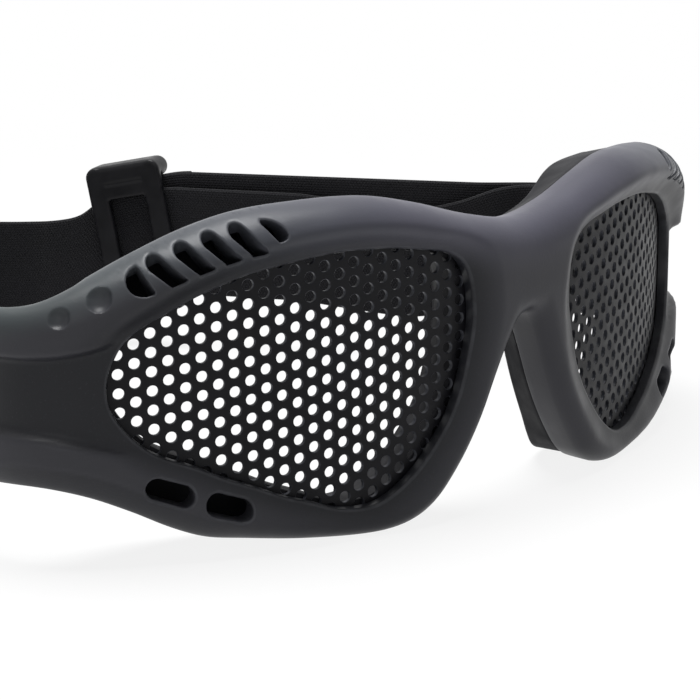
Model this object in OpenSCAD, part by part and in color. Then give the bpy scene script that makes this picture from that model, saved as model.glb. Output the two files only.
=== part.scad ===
// Mesh shooting glasses: a wrapped rubber front with two punched steel lenses, a backing frame
// that seals on the face, and one elastic strap adjusted by a slider.
// The origin lies on the face between the eyes. The front looks along -Y, +Z is up and the
// wearer's left is +X. The front is drawn flat, as a distance s along the wrap, a height z and a
// height h over the lens surface, and wrap() bends it round the face.

/* [Wrap] */
// Radius of the curve that carries both lenses
wrap_r = 137.7; // [120:1:160]
// Distance of the lens surface in front of the bridge of the nose
lens_forward = 16; // [14:0.5:20]
// Distance along the wrap from the middle to where the temples turn back
turn_start = 86; // [86:0.5:90]
// Radius of the turn into the temple
turn_r = 18; // [16:1:24]
// Direction of the temple, measured from straight across
temple_angle = 84; // [78:1:88]
// Length along the wrap from the middle to the end of a temple
half_length = 124.4; // [118:0.2:132]

/* [Front shell] */
// Height of the raised lip round a lens over the lens surface
lip_h = 1.5; // [1.2:0.1:2]
// Width of the scoop from the lip up to the ridge
scoop_w = 5.5; // [4:0.5:7]
// Wall of the moulding
wall = 2.4; // [1.8:0.1:3]
// Clearance between the moulded pieces
fit_gap = 0.1; // [0.05:0.05:0.2]
// Clearance over the edge of a lens
lens_gap = 0.2; // [0.15:0.05:0.3]
// Depth of the steel sheet behind the lens surface
lens_sink = 1.3; // [1:0.1:1.6]
// Depth of the seam between shell and backing frame behind the lens surface
seam_depth = 6; // [5:0.5:8]
// Thickness of a temple behind the lens surface
temple_back = 1.7; // [1.4:0.1:2.2]

/* [Vents] */
// Width of a brow vent
vent_w = 2.3; // [1.6:0.1:2.8]
// Distance from one brow vent to the next
vent_pitch = 4.6; // [4:0.1:5.4]
// Distance along the wrap of the middle of the vent row
vent_mid = 65.4; // [63:0.2:68]
// Length of a lower slot
slot_l = 8.6; // [6:0.2:10]
// Width of a lower slot
slot_w = 4.2; // [3:0.1:4.6]

/* [Lens mesh] */
// Thickness of the steel sheet
sheet_t = 0.8; // [0.5:0.1:1]
// Diameter of a punched hole
hole_d = 2; // [1.4:0.1:2.2]
// Distance between neighbouring holes
hole_pitch = 3.3; // [3:0.1:4]
// Width of the border of the sheet that the shell covers
lens_border = 2.4; // [1.6:0.1:2.5]
// Turn of the hole rows in the right lens
rows_turn_right = -1.5; // [-30:0.5:30]
// Turn of the hole rows in the left lens
rows_turn_left = -17; // [-30:0.5:30]

/* [Backing frame] */
// Depth of the edge that seals on the face behind the lens surface
seal_depth = 14.5; // [12:0.5:16]
// Step from the shell's outline in to the backing frame's
seal_inset = 0.9; // [0.5:0.1:1.5]
// Width of the ring that clamps the lens
clamp_w = 2.6; // [2:0.1:3]
// Width of an air channel from a brow vent to the eye
channel_w = 2.4; // [1.8:0.1:2.8]

/* [Strap] */
// Width of the elastic webbing
strap_w = 25; // [20:1:25]
// Thickness of the elastic webbing
strap_t = 1.4; // [1:0.1:1.6]
// Width of the slot that the webbing passes at a temple's end
strap_slot = 3.6; // [3.4:0.1:4]
// Length of the bar behind that slot
end_bar = 4; // [3.6:0.1:5]
// Gap between webbing and what it goes round
strap_gap = 0.3; // [0.2:0.05:0.4]
// Length of the webbing's end that is turned back and sewn
sewn_l = 18; // [14:1:24]

/* [Slider] */
// Width of the slider along the webbing
slider_w = 18; // [16:1:20]
// Space between the slider's two rails
slider_space = 30; // [29.6:0.2:32]
// Width of a rail or an outer bar
slider_bar = 2.8; // [2.4:0.1:3.4]
// Thickness of an outer bar
slider_bar_t = 2; // [1.6:0.1:2.4]
// Diameter of the middle bar
pin_d = 2.2; // [2:0.1:2.6]
// Lean of the slider on the webbing
slider_lean = 11; // [0:1:12]
/* [Hidden] */

rubber = [0.17, 0.17, 0.19];
seal_rubber = [0.12, 0.12, 0.13];
webbing = [0.07, 0.07, 0.09];
steel = [0.10, 0.10, 0.11];
thread = [0.11, 0.11, 0.13];

// Middle of a lens opening along the wrap
lens_s = 48;
// Reach of the opening from its middle, every 15 degrees from the temple side up over the brow
opening_reach = [35.5, 34.3, 28.8, 25, 22.8, 21.6, 21.7, 23, 25.5, 29.9, 36.1, 35.5,
                 32.9, 31.1, 29.2, 27.9, 26.5, 23.7, 20.9, 19.9, 19.8, 21.4, 24.6, 31.1];
reach_step = 360 / len(opening_reach);

// Outlines and section sizes as [distance along the wrap, size]
upper_line = [[0, 23.6], [12, 25.4], [24, 28.6], [36, 30.9], [48, 31], [60, 30], [70, 27.2],
              [80, 22.6], [88, 17.8], [96, 15.2], [110, 15], [130, 15]];
lower_line = [[0, 6.5], [3, 5], [5, 1.5], [7, -2.5], [10.5, -10], [14, -15.8], [18, -21],
              [22, -25], [27, -27.6], [34, -28.6], [48, -27.7], [60, -26.2], [67, -25.2],
              [73, -23], [80, -19.6], [88, -16.4], [96, -15], [110, -15.2], [130, -15.2]];
brow_rise = [[0, 2.4], [20, 2.8], [45, 3.6], [75, 3.2], [95, 1.9], [107, 1.8], [115, 0], [130, 0]];
cheek_rise = [[0, 1.4], [40, 1.4], [70, 2], [95, 1.8], [107, 1.8], [115, 0], [130, 0]];
brow_round = [[0, 6], [85, 6.5], [100, 3.5], [115, 2], [130, 2]];
brow_drop = [[0, 6.5], [20, 7.5], [45, 8.2], [80, 7.6], [100, 3.2], [115, 1.6], [130, 1.6]];
cheek_round = [[0, 3.5], [85, 3.8], [115, 2], [130, 2]];
cheek_drop = [[0, 3.8], [70, 4.4], [100, 3], [115, 1.6], [130, 1.6]];
seam_line = [[0, seam_depth], [85, seam_depth], [93, seam_depth * 0.75], [104, temple_back],
             [130, temple_back]];
seal_line = [[0, seal_depth - 3.5], [18, seal_depth - 2.5], [32, seal_depth], [45, seal_depth],
             [75, seal_depth - 1], [90, seal_depth - 4.5], [97, seal_depth - 8]];
recess_top = [[76, 12], [82, 9], [95, 6.5], [130, 6.5]];
recess_bottom = [[76, -9], [84, -7.8], [95, -6], [130, -6]];
recess_start = 78;
ridge_w = 3;

// Stations of a moulding along the wrap: close together over the nose
nose_step = 1.5;
nose_stations = 8;
side_step = 3.7;
backing_end = 97;

function clamp01(x) = min(1, max(0, x));
function ease(x) = let (t = clamp01(x)) t * t * (3 - 2 * t);
function mix(a, b, t) = a + (b - a) * t;
function fillet(x) = let (t = clamp01(x)) 1 - sqrt(1 - t * t);

// Smooth curve through [x, y] points, level at the first one
function slope(tb, i) =
    i == 0 ? 0
    : i == len(tb) - 1 ? (tb[i][1] - tb[i - 1][1]) / (tb[i][0] - tb[i - 1][0])
    : (tb[i + 1][1] - tb[i - 1][1]) / (tb[i + 1][0] - tb[i - 1][0]);
function along(tb, x) =
    let (i = min(len(tb) - 2, max(0, len([for (p = tb) if (p[0] <= x) 1]) - 1)),
         w = tb[i + 1][0] - tb[i][0],
         t = clamp01((x - tb[i][0]) / w),
         m0 = slope(tb, i) * w,
         m1 = slope(tb, i + 1) * w)
    tb[i][1] * (2 * t ^ 3 - 3 * t ^ 2 + 1) + m0 * (t ^ 3 - 2 * t ^ 2 + t)
    + tb[i + 1][1] * (3 * t ^ 2 - 2 * t ^ 3) + m1 * (t ^ 3 - t ^ 2);

// Smooth curve through four values, between the middle two
function through(a, b, c, d, t) =
    0.5 * (2 * b + (c - a) * t + (2 * a - 5 * b + 4 * c - d) * t ^ 2
           + (3 * b - a - 3 * c + d) * t ^ 3);
function reach(angle) =
    let (n = len(opening_reach),
         turn = (angle + 720) % 360 / reach_step,
         i = floor(turn))
    through(opening_reach[(i + n - 1) % n], opening_reach[i % n], opening_reach[(i + 1) % n],
            opening_reach[(i + 2) % n], turn - i);

// Angles of the wrap where the turn to the temple starts and ends
turn_from = turn_start / wrap_r * 180 / PI;
turn_end = turn_start + turn_r * (temple_angle - turn_from) * PI / 180;
turn_p = [wrap_r * sin(turn_from), wrap_r * (1 - cos(turn_from)) - lens_forward];
temple_p = turn_p + turn_r * [sin(temple_angle) - sin(turn_from), cos(turn_from) - cos(temple_angle)];

// The flat drawing bent round the face: s along the wrap, z up, h out from the lens surface
function heading(a) =
    a <= turn_start ? a / wrap_r * 180 / PI
    : a <= turn_end ? turn_from + (a - turn_start) / turn_r * 180 / PI
    : temple_angle;
function track(a) =
    let (d = heading(a))
    a <= turn_start ? [wrap_r * sin(d), wrap_r * (1 - cos(d)) - lens_forward]
    : a <= turn_end ? turn_p + turn_r * [sin(d) - sin(turn_from), cos(turn_from) - cos(d)]
    : temple_p + (a - turn_end) * [cos(temple_angle), sin(temple_angle)];
function wrap(s, z, h) =
    let (a = abs(s), d = heading(a), p = track(a) + h * [sin(d), -cos(d)])
    [s < 0 ? -p[0] : p[0], p[1], z];

function upper(a) = along(upper_line, a);
function lower(a) = along(lower_line, a);
// Extra height that a wall takes where the lower outline is steep
function steep(a) = min(2.2, norm([1, (lower(a + 0.5) - lower(max(0, a - 0.5))) / 1]));

// Distance out from the lens opening and the temple's recess
function clear_of_low(a, z) =
    let (p = [a - lens_s, z],
         from_lens = norm(p) - reach(atan2(p[1], p[0])),
         from_recess = max(z - along(recess_top, a), along(recess_bottom, a) - z, recess_start - a))
    max(0, min(from_lens / scoop_w, from_recess / ridge_w));

// Height of the shell's face over the lens surface
function face_h(a, z) =
    let (rise = mix(along(cheek_rise, a), along(brow_rise, a), ease((z + 6) / 20)),
         rt = along(brow_round, a),
         rb = along(cheek_round, a),
         dt = upper(a) - z,
         db = (z - lower(a)) / steep(a))
    lip_h + rise * ease(clear_of_low(a, z))
    - along(brow_drop, a) * fillet((rt - dt) / rt)
    - along(cheek_drop, a) * fillet((rb - db) / rb);
function seam_h(a) = -along(seam_line, a);
// Height of the hollow's floor, which the lens seats on, and where it closes in the temple
temple_from = 88;
temple_run = 8;
temple_hollow = 0.3;
function floor_h(a) =
    mix(sheet_t / 2 + lens_gap - lens_sink, seam_h(a) + temple_hollow,
        ease((a - temple_from) / temple_run));

// A solid skinned over sections that have the same number of points
module skin(sections) {
    n = len(sections[0]);
    last = len(sections) - 1;
    polyhedron(
        points = [for (section = sections) each section],
        faces = concat(
            [[for (j = [n - 1 : -1 : 0]) j]],
            [for (i = [0 : last - 1], j = [0 : n - 1])
                let (a = i * n + j, b = i * n + (j + 1) % n) [a, b + n, a + n]],
            [for (i = [0 : last - 1], j = [0 : n - 1])
                let (a = i * n + j, b = i * n + (j + 1) % n) [a, b, b + n]],
            [[for (j = [0 : n - 1]) last * n + j]]));
}

// The same for sections that close in a ring
module ring_skin(sections) {
    n = len(sections[0]);
    count = len(sections);
    polyhedron(
        points = [for (section = sections) each section],
        faces = concat(
            [for (i = [0 : count - 1], j = [0 : n - 1])
                let (a = i * n + j, next = (i + 1) % count * n) [a, next + j, next + (j + 1) % n]],
            [for (i = [0 : count - 1], j = [0 : n - 1])
                let (a = i * n + j, b = i * n + (j + 1) % n) [a, (i + 1) % count * n + (j + 1) % n, b]]));
}

function stations(end) =
    let (near = [for (i = [0 : nose_stations]) i * nose_step],
         rest = end - nose_stations * nose_step,
         count = ceil(rest / side_step),
         half = concat(near, [for (i = [1 : count]) nose_stations * nose_step + rest * i / count]))
    concat([for (i = [len(half) - 1 : -1 : 1]) -half[i]], half);

// Depths of the rows of a section below the brow line and above the lower line
brow_rows = [8.5, 6, 4.2, 2.6, 1.3, 0.5, 0];
cheek_rows = [0, 0.5, 1.3, 2.6, 4.4];
middle_rows = 5;
floor_rows = 2;
edge_in = 0.5;
function shell_section(s) =
    let (a = abs(s), t = upper(a), b = lower(a), k = steep(a), top_in = t - wall, bottom_in = b + wall * k,
         low = b + cheek_rows[4] * k, high = t - brow_rows[0],
         zs = concat([for (d = cheek_rows) b + d * k],
                     [for (i = [1 : middle_rows]) mix(low, high, i / (middle_rows + 1))],
                     [for (d = brow_rows) t - d]))
    concat([for (z = zs) wrap(s, z, face_h(a, z))],
           [wrap(s, t - edge_in, seam_h(a)), wrap(s, top_in, seam_h(a))],
           [for (i = [0 : floor_rows]) wrap(s, mix(top_in, bottom_in, i / floor_rows), floor_h(a))],
           [wrap(s, bottom_in, seam_h(a)), wrap(s, b + edge_in * k, seam_h(a))]);

// A tunnel through a moulding in the outline of a lens opening: rings are [height, growth, flare]
shell_points = 54;
backing_points = 40;
function lens_point(side, w, h, grow, flare) =
    let (r = reach(w) + grow + flare * (1.2 + 1.8 * max(0, sin(w)) + 3 * max(0, cos(w))))
    wrap(side * (lens_s + r * cos(w)), r * sin(w), h);
function lens_ring(side, points, h, grow, flare) =
    [for (i = [0 : points - 1]) lens_point(side, i * 360 / points, h, grow, flare)];
module tunnel(side, points, rings) {
    sections = [for (r = rings) lens_ring(side, points, r[0], r[1], r[2])];
    skin(side < 0 ? sections : [for (i = [len(sections) - 1 : -1 : 0]) sections[i]]);
}

// A cutter through the places given as [s, z, h]
module through_cut(places, r, fn = 10) {
    hull()
        for (p = places)
            translate(wrap(p[0], p[1], p[2])) sphere(r = r, $fn = fn);
}

vents = 6;
vent_lean = 1.3;
vent_top = 2;
vent_bottom = 6.9;
vent_corner = 0.45;
vent_span = [-7, 3];
vent_way = [0.35, 0.94];
// The part of a vent round one place, given as [distance along the wrap, depth below the brow line]
module vent_bit(side, place, r) {
    z = upper(place[0]) - place[1];
    for (out = vent_span)
        translate(wrap(side * place[0], z + out * vent_way[0], face_h(place[0], z) + out * vent_way[1]))
            sphere(r = r, $fn = 8);
}
// A vent is round at the top and square at the bottom; the first and last are half as wide
module vent(side, i) {
    s = vent_mid + (i - (vents - 1) / 2) * vent_pitch;
    bulge = i == 0 ? -1 : i == vents - 1 ? 1 : 0;
    r = bulge == 0 ? vent_w / 2 : vent_w / 3;
    edge = vent_w / 2 - vent_corner;
    hull() {
        vent_bit(side, [s + vent_lean - bulge * r, vent_top], r);
        if (bulge != 0) vent_bit(side, [s + bulge * r * 0.8, (vent_top + vent_bottom) / 2], r);
        for (e = bulge == 0 ? [-edge, edge] : [-bulge * edge])
            vent_bit(side, [s - vent_lean + e, vent_bottom], vent_corner);
    }
}

slot_places = [[73.7, -16], [63.5, -19.6]];
module lower_slot(side, place) {
    run = (slot_l - slot_w) / 2;
    lean = atan2(slot_places[0][1] - slot_places[1][1], slot_places[0][0] - slot_places[1][0]);
    through_cut([for (e = [-run, run], h = [-4, 8])
        [side * (place[0] + e * cos(lean)), place[1] + e * sin(lean), h]], slot_w / 2, 14);
}

// Dimples as [distance along the wrap, depth below the brow line, radius of the rim], pressed
// square to the ridge's rounded face
dimples = [[84.9, 2.8, 2.3], [91, 2.8, 1.9]];
dimple_r = 4;
dimple_stretch = 0.5;
module dimple(side, d) {
    step = 0.1;
    z = upper(d[0]) - d[1];
    tilt = atan2(face_h(d[0], z - step) - face_h(d[0], z + step), 2 * step);
    rise = sqrt(dimple_r ^ 2 - d[2] ^ 2);
    through_cut([for (e = [-dimple_stretch, dimple_stretch])
        [side * d[0], z + rise * sin(tilt) + e * cos(tilt),
         face_h(d[0], z) + rise * cos(tilt) - e * sin(tilt)]], dimple_r, 20);
}

slot_end = half_length - end_bar;
slot_half = strap_w / 2 + 0.4;
module strap_opening(side) {
    r = 0.6;
    through_cut([for (s = [slot_end - strap_slot + r, slot_end - r], z = [-slot_half + r, slot_half - r],
                      h = [-5, 6]) [side * s, z, h]], r, 6);
}

module front_shell() {
    color(rubber)
        difference() {
            skin([for (s = stations(half_length)) shell_section(s)]);
            for (side = [-1, 1]) {
                tunnel(side, shell_points, [[-12, 0, 0], [9, 0.6, 0]]);
                for (i = [0 : vents - 1]) vent(side, i);
                for (place = slot_places) lower_slot(side, place);
                for (d = dimples) dimple(side, d);
                strap_opening(side);
            }
        }
}

// Step of the sealing edge in from the outline, over the brow and along the lower edge
brow_taper = 1.4;
lower_taper = [[0, 1.4], [18, 1.2], [28, 0.2], [50, 0.2], [97, 1.2]];
seal_bevel = 1.6;
lower_bevel = 1;
function backing_section(s) =
    let (a = abs(s), k = steep(a), t = upper(a) - seal_inset, b = lower(a) + seal_inset * k,
         low_in = along(lower_taper, a) * k, front = seam_h(a) - fit_gap,
         rear = -along(seal_line, a), mid = (t + b) / 2)
    [wrap(s, b, front), wrap(s, mid, front), wrap(s, t, front),
     wrap(s, t - brow_taper, rear + seal_bevel), wrap(s, t - brow_taper - seal_bevel, rear),
     wrap(s, mid, rear),
     wrap(s, b + low_in + lower_bevel * k, rear), wrap(s, b + low_in, rear + lower_bevel)];

// Air channel from behind a brow vent, under the lens's edge and into the eye cavity
channel_top = 5;
channel_in = 1.5;
module air_channel(side, i) {
    s = vent_mid + (i - (vents - 1) / 2) * vent_pitch;
    from = [s - lens_s, upper(s) - channel_top];
    turn = atan2(from[1], from[0]);
    to = (reach(turn) - channel_in) * [cos(turn), sin(turn)];
    hull()
        for (p = [from, to])
            translate(wrap(side * (lens_s + p[0]), p[1], -seam_depth))
                rotate([0, -side * turn, side * heading(lens_s + p[0])])
                    cube([0.2, channel_w, channel_w], center = true);
}

// Ring that holds the lens against the shell from behind
cavity_in = 0.8;
cavity_flare = 1.2;
clamp_front = -lens_sink - sheet_t / 2 - fit_gap / 2;
clamp_back = -seam_depth - 2;
module clamp_ring(side) {
    corners = [[clamp_front, -cavity_in - 1], [clamp_front, clamp_w], [clamp_back, clamp_w],
               [clamp_back, -cavity_in - 1]];
    ring_skin([for (i = [0 : backing_points - 1])
        [for (c = corners) lens_point(side, side * (i + 0.5) * 360 / backing_points, c[0], c[1], 0)]]);
}
module backing_frame() {
    color(seal_rubber)
        difference() {
            union() {
                skin([for (s = stations(backing_end)) backing_section(s)]);
                for (side = [-1, 1]) clamp_ring(side);
            }
            for (side = [-1, 1]) {
                tunnel(side, backing_points, [[-seal_depth - 2, -cavity_in, cavity_flare],
                                              [-seam_depth, -cavity_in, 0], [2, -cavity_in, 0]]);
                for (i = [0 : vents - 1]) air_channel(side, i);
            }
        }
}

// Where each sheet was cut from the punched stock: one hole's place from the lens middle
hole_right = [1.55, -0.25];
hole_left = [-1.8, -1];
// Hole places on the sheet as [s from the lens middle, z], kept where the opening shows them
function hole_places(turn, first) =
    [for (i = [-15 : 15], j = [-17 : 17])
        let (u = i * hole_pitch * sin(60), v = (j + (i % 2 == 0 ? 0 : 0.5)) * hole_pitch,
             p = first + [u * cos(turn) - v * sin(turn), u * sin(turn) + v * cos(turn)])
        if (norm(p) < reach(atan2(p[1], p[0])) + hole_d / 2) p];
sheet_h = 64;
lens_r = wrap_r - lens_sink;
module lens_mesh(turn, first) {
    axis_y = wrap_r - lens_forward;
    middle = lens_s / wrap_r * 180 / PI;
    spread = 20;
    sag = 8;
    difference() {
        intersection() {
            translate([0, axis_y, -sheet_h / 2])
                rotate([0, 0, middle - spread - 90])
                    rotate_extrude(angle = 2 * spread, $fn = 180)
                        translate([lens_r - sheet_t / 2, 0]) square([sheet_t, sheet_h]);
            translate([0, axis_y, 0])
                rotate([90, 0, middle])
                    translate([0, 0, lens_r - sag])
                        linear_extrude(height = 2 * sag)
                            polygon([for (w = [0 : 6 : 354])
                                let (r = reach(w) + lens_border)
                                [lens_r * sin(r * cos(w) / wrap_r * 180 / PI), r * sin(w)]]);
        }
        for (p = hole_places(turn, first))
            translate([0, axis_y, p[1]])
                rotate([90, 0, middle + p[0] / lens_r * 180 / PI])
                    translate([0, 0, lens_r - sheet_t])
                        cylinder(d = hole_d, h = 2 * sheet_t, $fn = 24);
    }
}
module lens_mesh_right() {
    color(steel) mirror([1, 0, 0]) lens_mesh(rows_turn_right, hole_right);
}
module lens_mesh_left() {
    color(steel) lens_mesh(rows_turn_left, hole_left);
}

// Straight run of doubled webbing on the left, from near the slider to the temple
run_p = [41, 133];
run_angle = -61.2;
run_l = 87;
function run_dir(angle) = [cos(angle), sin(angle)];
function run_out(angle) = [-sin(angle), cos(angle)];
function run_at(t, n, z) =
    let (p = run_p + t * run_dir(run_angle) + n * run_out(run_angle)) [p[0], p[1], z];

// Straight end of the webbing behind the right temple
right_p = [-86, 54];
right_angle = 71.6;
function right_at(t, n, z) =
    let (p = right_p + t * run_dir(right_angle) + n * run_out(right_angle)) [p[0], p[1], z];

// Webbing round the bar at a temple's end: back and out are measured from the bar
temple_mid = (lip_h - temple_back) / 2;
loop_r = (lip_h + temple_back) / 2 + strap_gap + strap_t / 2;
loop_s = slot_end - strap_slot / 2 + loop_r;
function temple_at(side, back, out) = wrap(side * (loop_s + back), 0, temple_mid + out);
loop_turn = 80;
loop_steps = 8;
function bar_loop(side, way) =
    [for (i = [0 : loop_steps])
        let (w = way * mix(-loop_turn, loop_turn, i / loop_steps))
        temple_at(side, -loop_r * cos(w), loop_r * sin(w))];

// Curve through hand-chosen points
function smooth(pts, steps) =
    let (n = len(pts))
    [for (i = [0 : n - 2], k = [0 : steps - (i == n - 2 ? 0 : 1)])
        let (a = pts[max(0, i - 1)], b = pts[i], c = pts[i + 1], d = pts[min(n - 1, i + 2)])
        through(a, b, c, d, k / steps)];
function reversed(pts) = [for (i = [len(pts) - 1 : -1 : 0]) pts[i]];
// Webbing along a path; leans, where given, tilt each section back along the straight run
module ribbon(path, leans = []) {
    n = len(path);
    back = -run_dir(run_angle);
    skin([for (i = [0 : n - 1])
        let (p = path[i], e = path[min(n - 1, i + 1)] - path[max(0, i - 1)],
             flat = [e[0], e[1]] / norm([e[0], e[1]]),
             lean = len(leans) == 0 ? 0 : leans[i],
             out = [flat[1], -flat[0], 0] * strap_t / 2,
             up = [back[0] * sin(lean), back[1] * sin(lean), cos(lean)] * strap_w / 2)
        [p - out - up, p + out - up, p + out + up, p - out + up]]);
}

// The standing leaf hangs lower than the tail from the slider to near the temple, and lower
// still at the back of the head
stand_z = -3.4;
stand_level = 66;
rear_z = -13;
leaf_gap = 0.35;
tail_n = strap_t + leaf_gap;
slider_t = 2.5;
tail_from = slider_t + slider_w / 2 + 4.5;
tail_to = 80;
sewn_n = strap_t + 0.1;
rear_route = [run_at(12, 0, stand_z), run_at(4, 0, -4), run_at(-3, 0, -5.8), run_at(-7.5, 0, -7.8),
              run_at(-12, 0, -11), run_at(-18, 0, -12.4), run_at(-26, 0, -13), [19, 165, rear_z],
              [5, 171, rear_z], [-11, 169, rear_z + 0.5], [-26, 159, -11.5], [-40, 144, -10], [-53, 126, -8],
              [-65, 105, -5.5], right_at(32, 0, -3), right_at(24, 0, -1.8), right_at(12, 0, -0.5)];
right_inner = [right_at(12, 0, -0.5), right_at(3, 0, 0), temple_at(-1, 4, -loop_r),
               temple_at(-1, 0, -loop_r)];
right_outer = [temple_at(-1, 0, loop_r), temple_at(-1, 4, loop_r), right_at(2, sewn_n + 1.6, 0),
               right_at(8, sewn_n, -0.2), right_at(sewn_l + 3, sewn_n, -1.5)];
left_inner = [run_at(stand_level, 0, stand_z), run_at(stand_level + 10, 0, stand_z / 2),
              run_at(run_l, 0, -0.3), temple_at(1, 8.5, -loop_r - 1), temple_at(1, 4, -loop_r),
              temple_at(1, 0, -loop_r)];
left_outer = [temple_at(1, 0, loop_r), temple_at(1, 4, loop_r), temple_at(1, 9.5, 0.1),
              run_at(tail_to + 4, tail_n + 0.4, 0), run_at(tail_to, tail_n, 0)];
module strap_band() {
    color(webbing)
        ribbon(concat(
            reversed(smooth(right_outer, 3)),
            bar_loop(-1, -1),
            reversed(smooth(right_inner, 3)),
            reversed([for (i = [0 : len(smooth(rear_route, 4)) - 2]) smooth(rear_route, 4)[i]]),
            smooth(left_inner, 3),
            bar_loop(1, 1),
            smooth(left_outer, 3)));
}
module strap_tail() {
    color(webbing) ribbon([run_at(tail_to - 0.2, tail_n, 0), run_at(tail_from, tail_n, 0)]);
}

// Slider, drawn with the run along X and out of the loop along Y
slider_z = -3;
pin_n = tail_n + strap_t / 2 + strap_gap / 2 + pin_d / 2;
turn_n = pin_d / 2 + strap_gap / 2 + strap_t / 2;
bar_in = strap_t / 2 + strap_gap;
module at_slider() {
    translate(run_at(slider_t, 0, slider_z))
        rotate([0, 0, run_angle]) rotate([0, -slider_lean, 0]) children();
}
module slider_corner(x, z, low, high) {
    translate([x, high, z]) rotate([90, 0, 0]) cylinder(r = slider_bar / 2, h = high - low, $fn = 32);
}
module slider() {
    rail_z = (slider_space + slider_bar) / 2;
    bar_x = (slider_w - slider_bar) / 2;
    color(rubber)
        at_slider()
            for (side = [-1, 1]) {
                hull()
                    for (x = [-bar_x, bar_x])
                        slider_corner(x, side * rail_z, -bar_in - slider_bar_t, pin_n + pin_d / 2 + 0.5);
                hull()
                    for (z = [-rail_z, rail_z])
                        slider_corner(side * bar_x, z, -bar_in - slider_bar_t, -bar_in);
            }
}
module slider_pin() {
    color(rubber)
        at_slider()
            translate([0, pin_n, -slider_space / 2]) cylinder(d = pin_d, h = slider_space, $fn = 32);
}

// The tail's end goes round the middle bar and is sewn back on the tail
loop_points = concat(
    [for (t = [tail_from - 0.3 - slider_t : -2 : 2]) [t, mix(tail_n, pin_n - turn_n, ease(2 - t / 4))]],
    [for (w = [0 : 20 : 180]) [-turn_n * sin(w), pin_n - turn_n * cos(w)]],
    [for (t = [2 : 2 : sewn_l - 6]) [t, mix(pin_n + turn_n, tail_n + sewn_n, ease((t - 2) / 6))]]);
module strap_tail_loop() {
    straight = tail_from - slider_t;
    color(webbing)
        ribbon([for (p = loop_points)
                   let (z = mix(slider_z + p[0] * tan(slider_lean), 0, ease(p[0] / straight)))
                   run_at(slider_t + p[0], p[1], z)],
               [for (p = loop_points) slider_lean * (1 - ease(p[0] / straight))]);
}

// Rows of stitches as thread lying on the webbing's outer face
stitch_d = 0.5;
stitch_rows = 3;
stitch_pitch = 2;
stitch_out = strap_t / 2 + stitch_d / 2 + 0.1;
module stitches(places) {
    for (p = places)
        translate([p[0], p[1], p[2] - strap_w / 2 + 2]) cylinder(d = stitch_d, h = strap_w - 4, $fn = 16);
}
module anchor_stitches() {
    color(thread)
        stitches([for (i = [0 : stitch_rows - 1])
            right_at(sewn_l - 1 - i * stitch_pitch, sewn_n + stitch_out, -1)]);
}
module tail_stitches() {
    color(thread)
        stitches([for (i = [0 : 1])
            run_at(slider_t + sewn_l - 7.5 - i * stitch_pitch, tail_n + sewn_n + stitch_out, 0)]);
}

front_shell();
lens_mesh_right();
lens_mesh_left();
backing_frame();
strap_band();
strap_tail();
strap_tail_loop();
slider();
slider_pin();
anchor_stitches();
tail_stitches();
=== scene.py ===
# %% [markdown]
# Mesh shooting glasses: a wrapped rubber front that holds two punched steel sheets, a softer
# backing frame that seals on the face, and one elastic strap with a slider.
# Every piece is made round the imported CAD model, in metres and in its frame, so a piece that
# stands for a CAD node lies where that node lies.
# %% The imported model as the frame
import math

import bpy
import bmesh
import numpy as np
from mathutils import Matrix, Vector, geometry
from mathutils.kdtree import KDTree


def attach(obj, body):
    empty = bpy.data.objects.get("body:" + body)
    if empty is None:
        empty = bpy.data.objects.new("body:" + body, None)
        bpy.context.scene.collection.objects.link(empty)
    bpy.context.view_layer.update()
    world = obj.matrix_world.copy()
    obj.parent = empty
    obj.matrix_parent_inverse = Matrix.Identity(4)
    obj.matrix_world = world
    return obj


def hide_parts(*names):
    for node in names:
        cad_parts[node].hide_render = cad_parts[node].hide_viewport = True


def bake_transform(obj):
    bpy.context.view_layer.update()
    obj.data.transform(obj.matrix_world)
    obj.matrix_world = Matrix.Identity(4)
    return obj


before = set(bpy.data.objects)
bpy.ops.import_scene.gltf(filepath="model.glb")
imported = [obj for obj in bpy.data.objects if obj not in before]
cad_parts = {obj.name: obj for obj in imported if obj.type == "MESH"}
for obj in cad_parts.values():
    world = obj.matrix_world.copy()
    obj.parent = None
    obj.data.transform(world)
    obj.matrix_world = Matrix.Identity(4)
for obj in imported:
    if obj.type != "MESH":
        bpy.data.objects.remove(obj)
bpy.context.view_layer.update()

MM = 0.001

# %% [markdown]
# A few steps come back for every piece: put an object in the scene, keep what its modifiers make
# of it, turn its faces outwards, and measure along a path. Each is a short function.
# %% Helpers for objects and paths
def placed(name, data):
    """A new object of the data, in the scene."""
    made = bpy.data.objects.new(name, data)
    bpy.context.scene.collection.objects.link(made)
    return made


def settle(thing):
    """Gives an object the plain mesh that its modifiers make."""
    state = bpy.context.evaluated_depsgraph_get()
    state.update()
    result = bpy.data.meshes.new_from_object(thing.evaluated_get(state))
    thing.modifiers.clear()
    thing.data = result
    result.name = thing.name


def write_out(work, mesh):
    """Turns the faces outwards and writes them into the mesh."""
    bmesh.ops.recalc_face_normals(work, faces=work.faces)
    work.to_mesh(mesh)
    work.free()


def shade(thing, angle):
    """Smooth shading with a crease wherever two faces meet at more than an angle."""
    thing.data.shade_smooth()
    thing.data.set_sharp_from_angle(angle=math.radians(angle))


def circle_steps(count):
    return np.arange(count) * 2 * np.pi / count


def unit(rows):
    return rows / np.linalg.norm(rows, axis=1, keepdims=True)


def lengths(path):
    """The length along a path at each of its points."""
    return np.concatenate([[0], np.cumsum(np.linalg.norm(np.diff(path, axis=0), axis=1))])


def even_steps(path, step, least):
    """The path in even steps, without points closer than the least distance."""
    length = lengths(path)
    keep = np.concatenate([[True], np.diff(length) > least])
    even = np.linspace(0, length[-1], int(length[-1] / step) + 1)
    return np.stack([np.interp(even, length[keep], column) for column in path[keep].T], 1)


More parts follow.
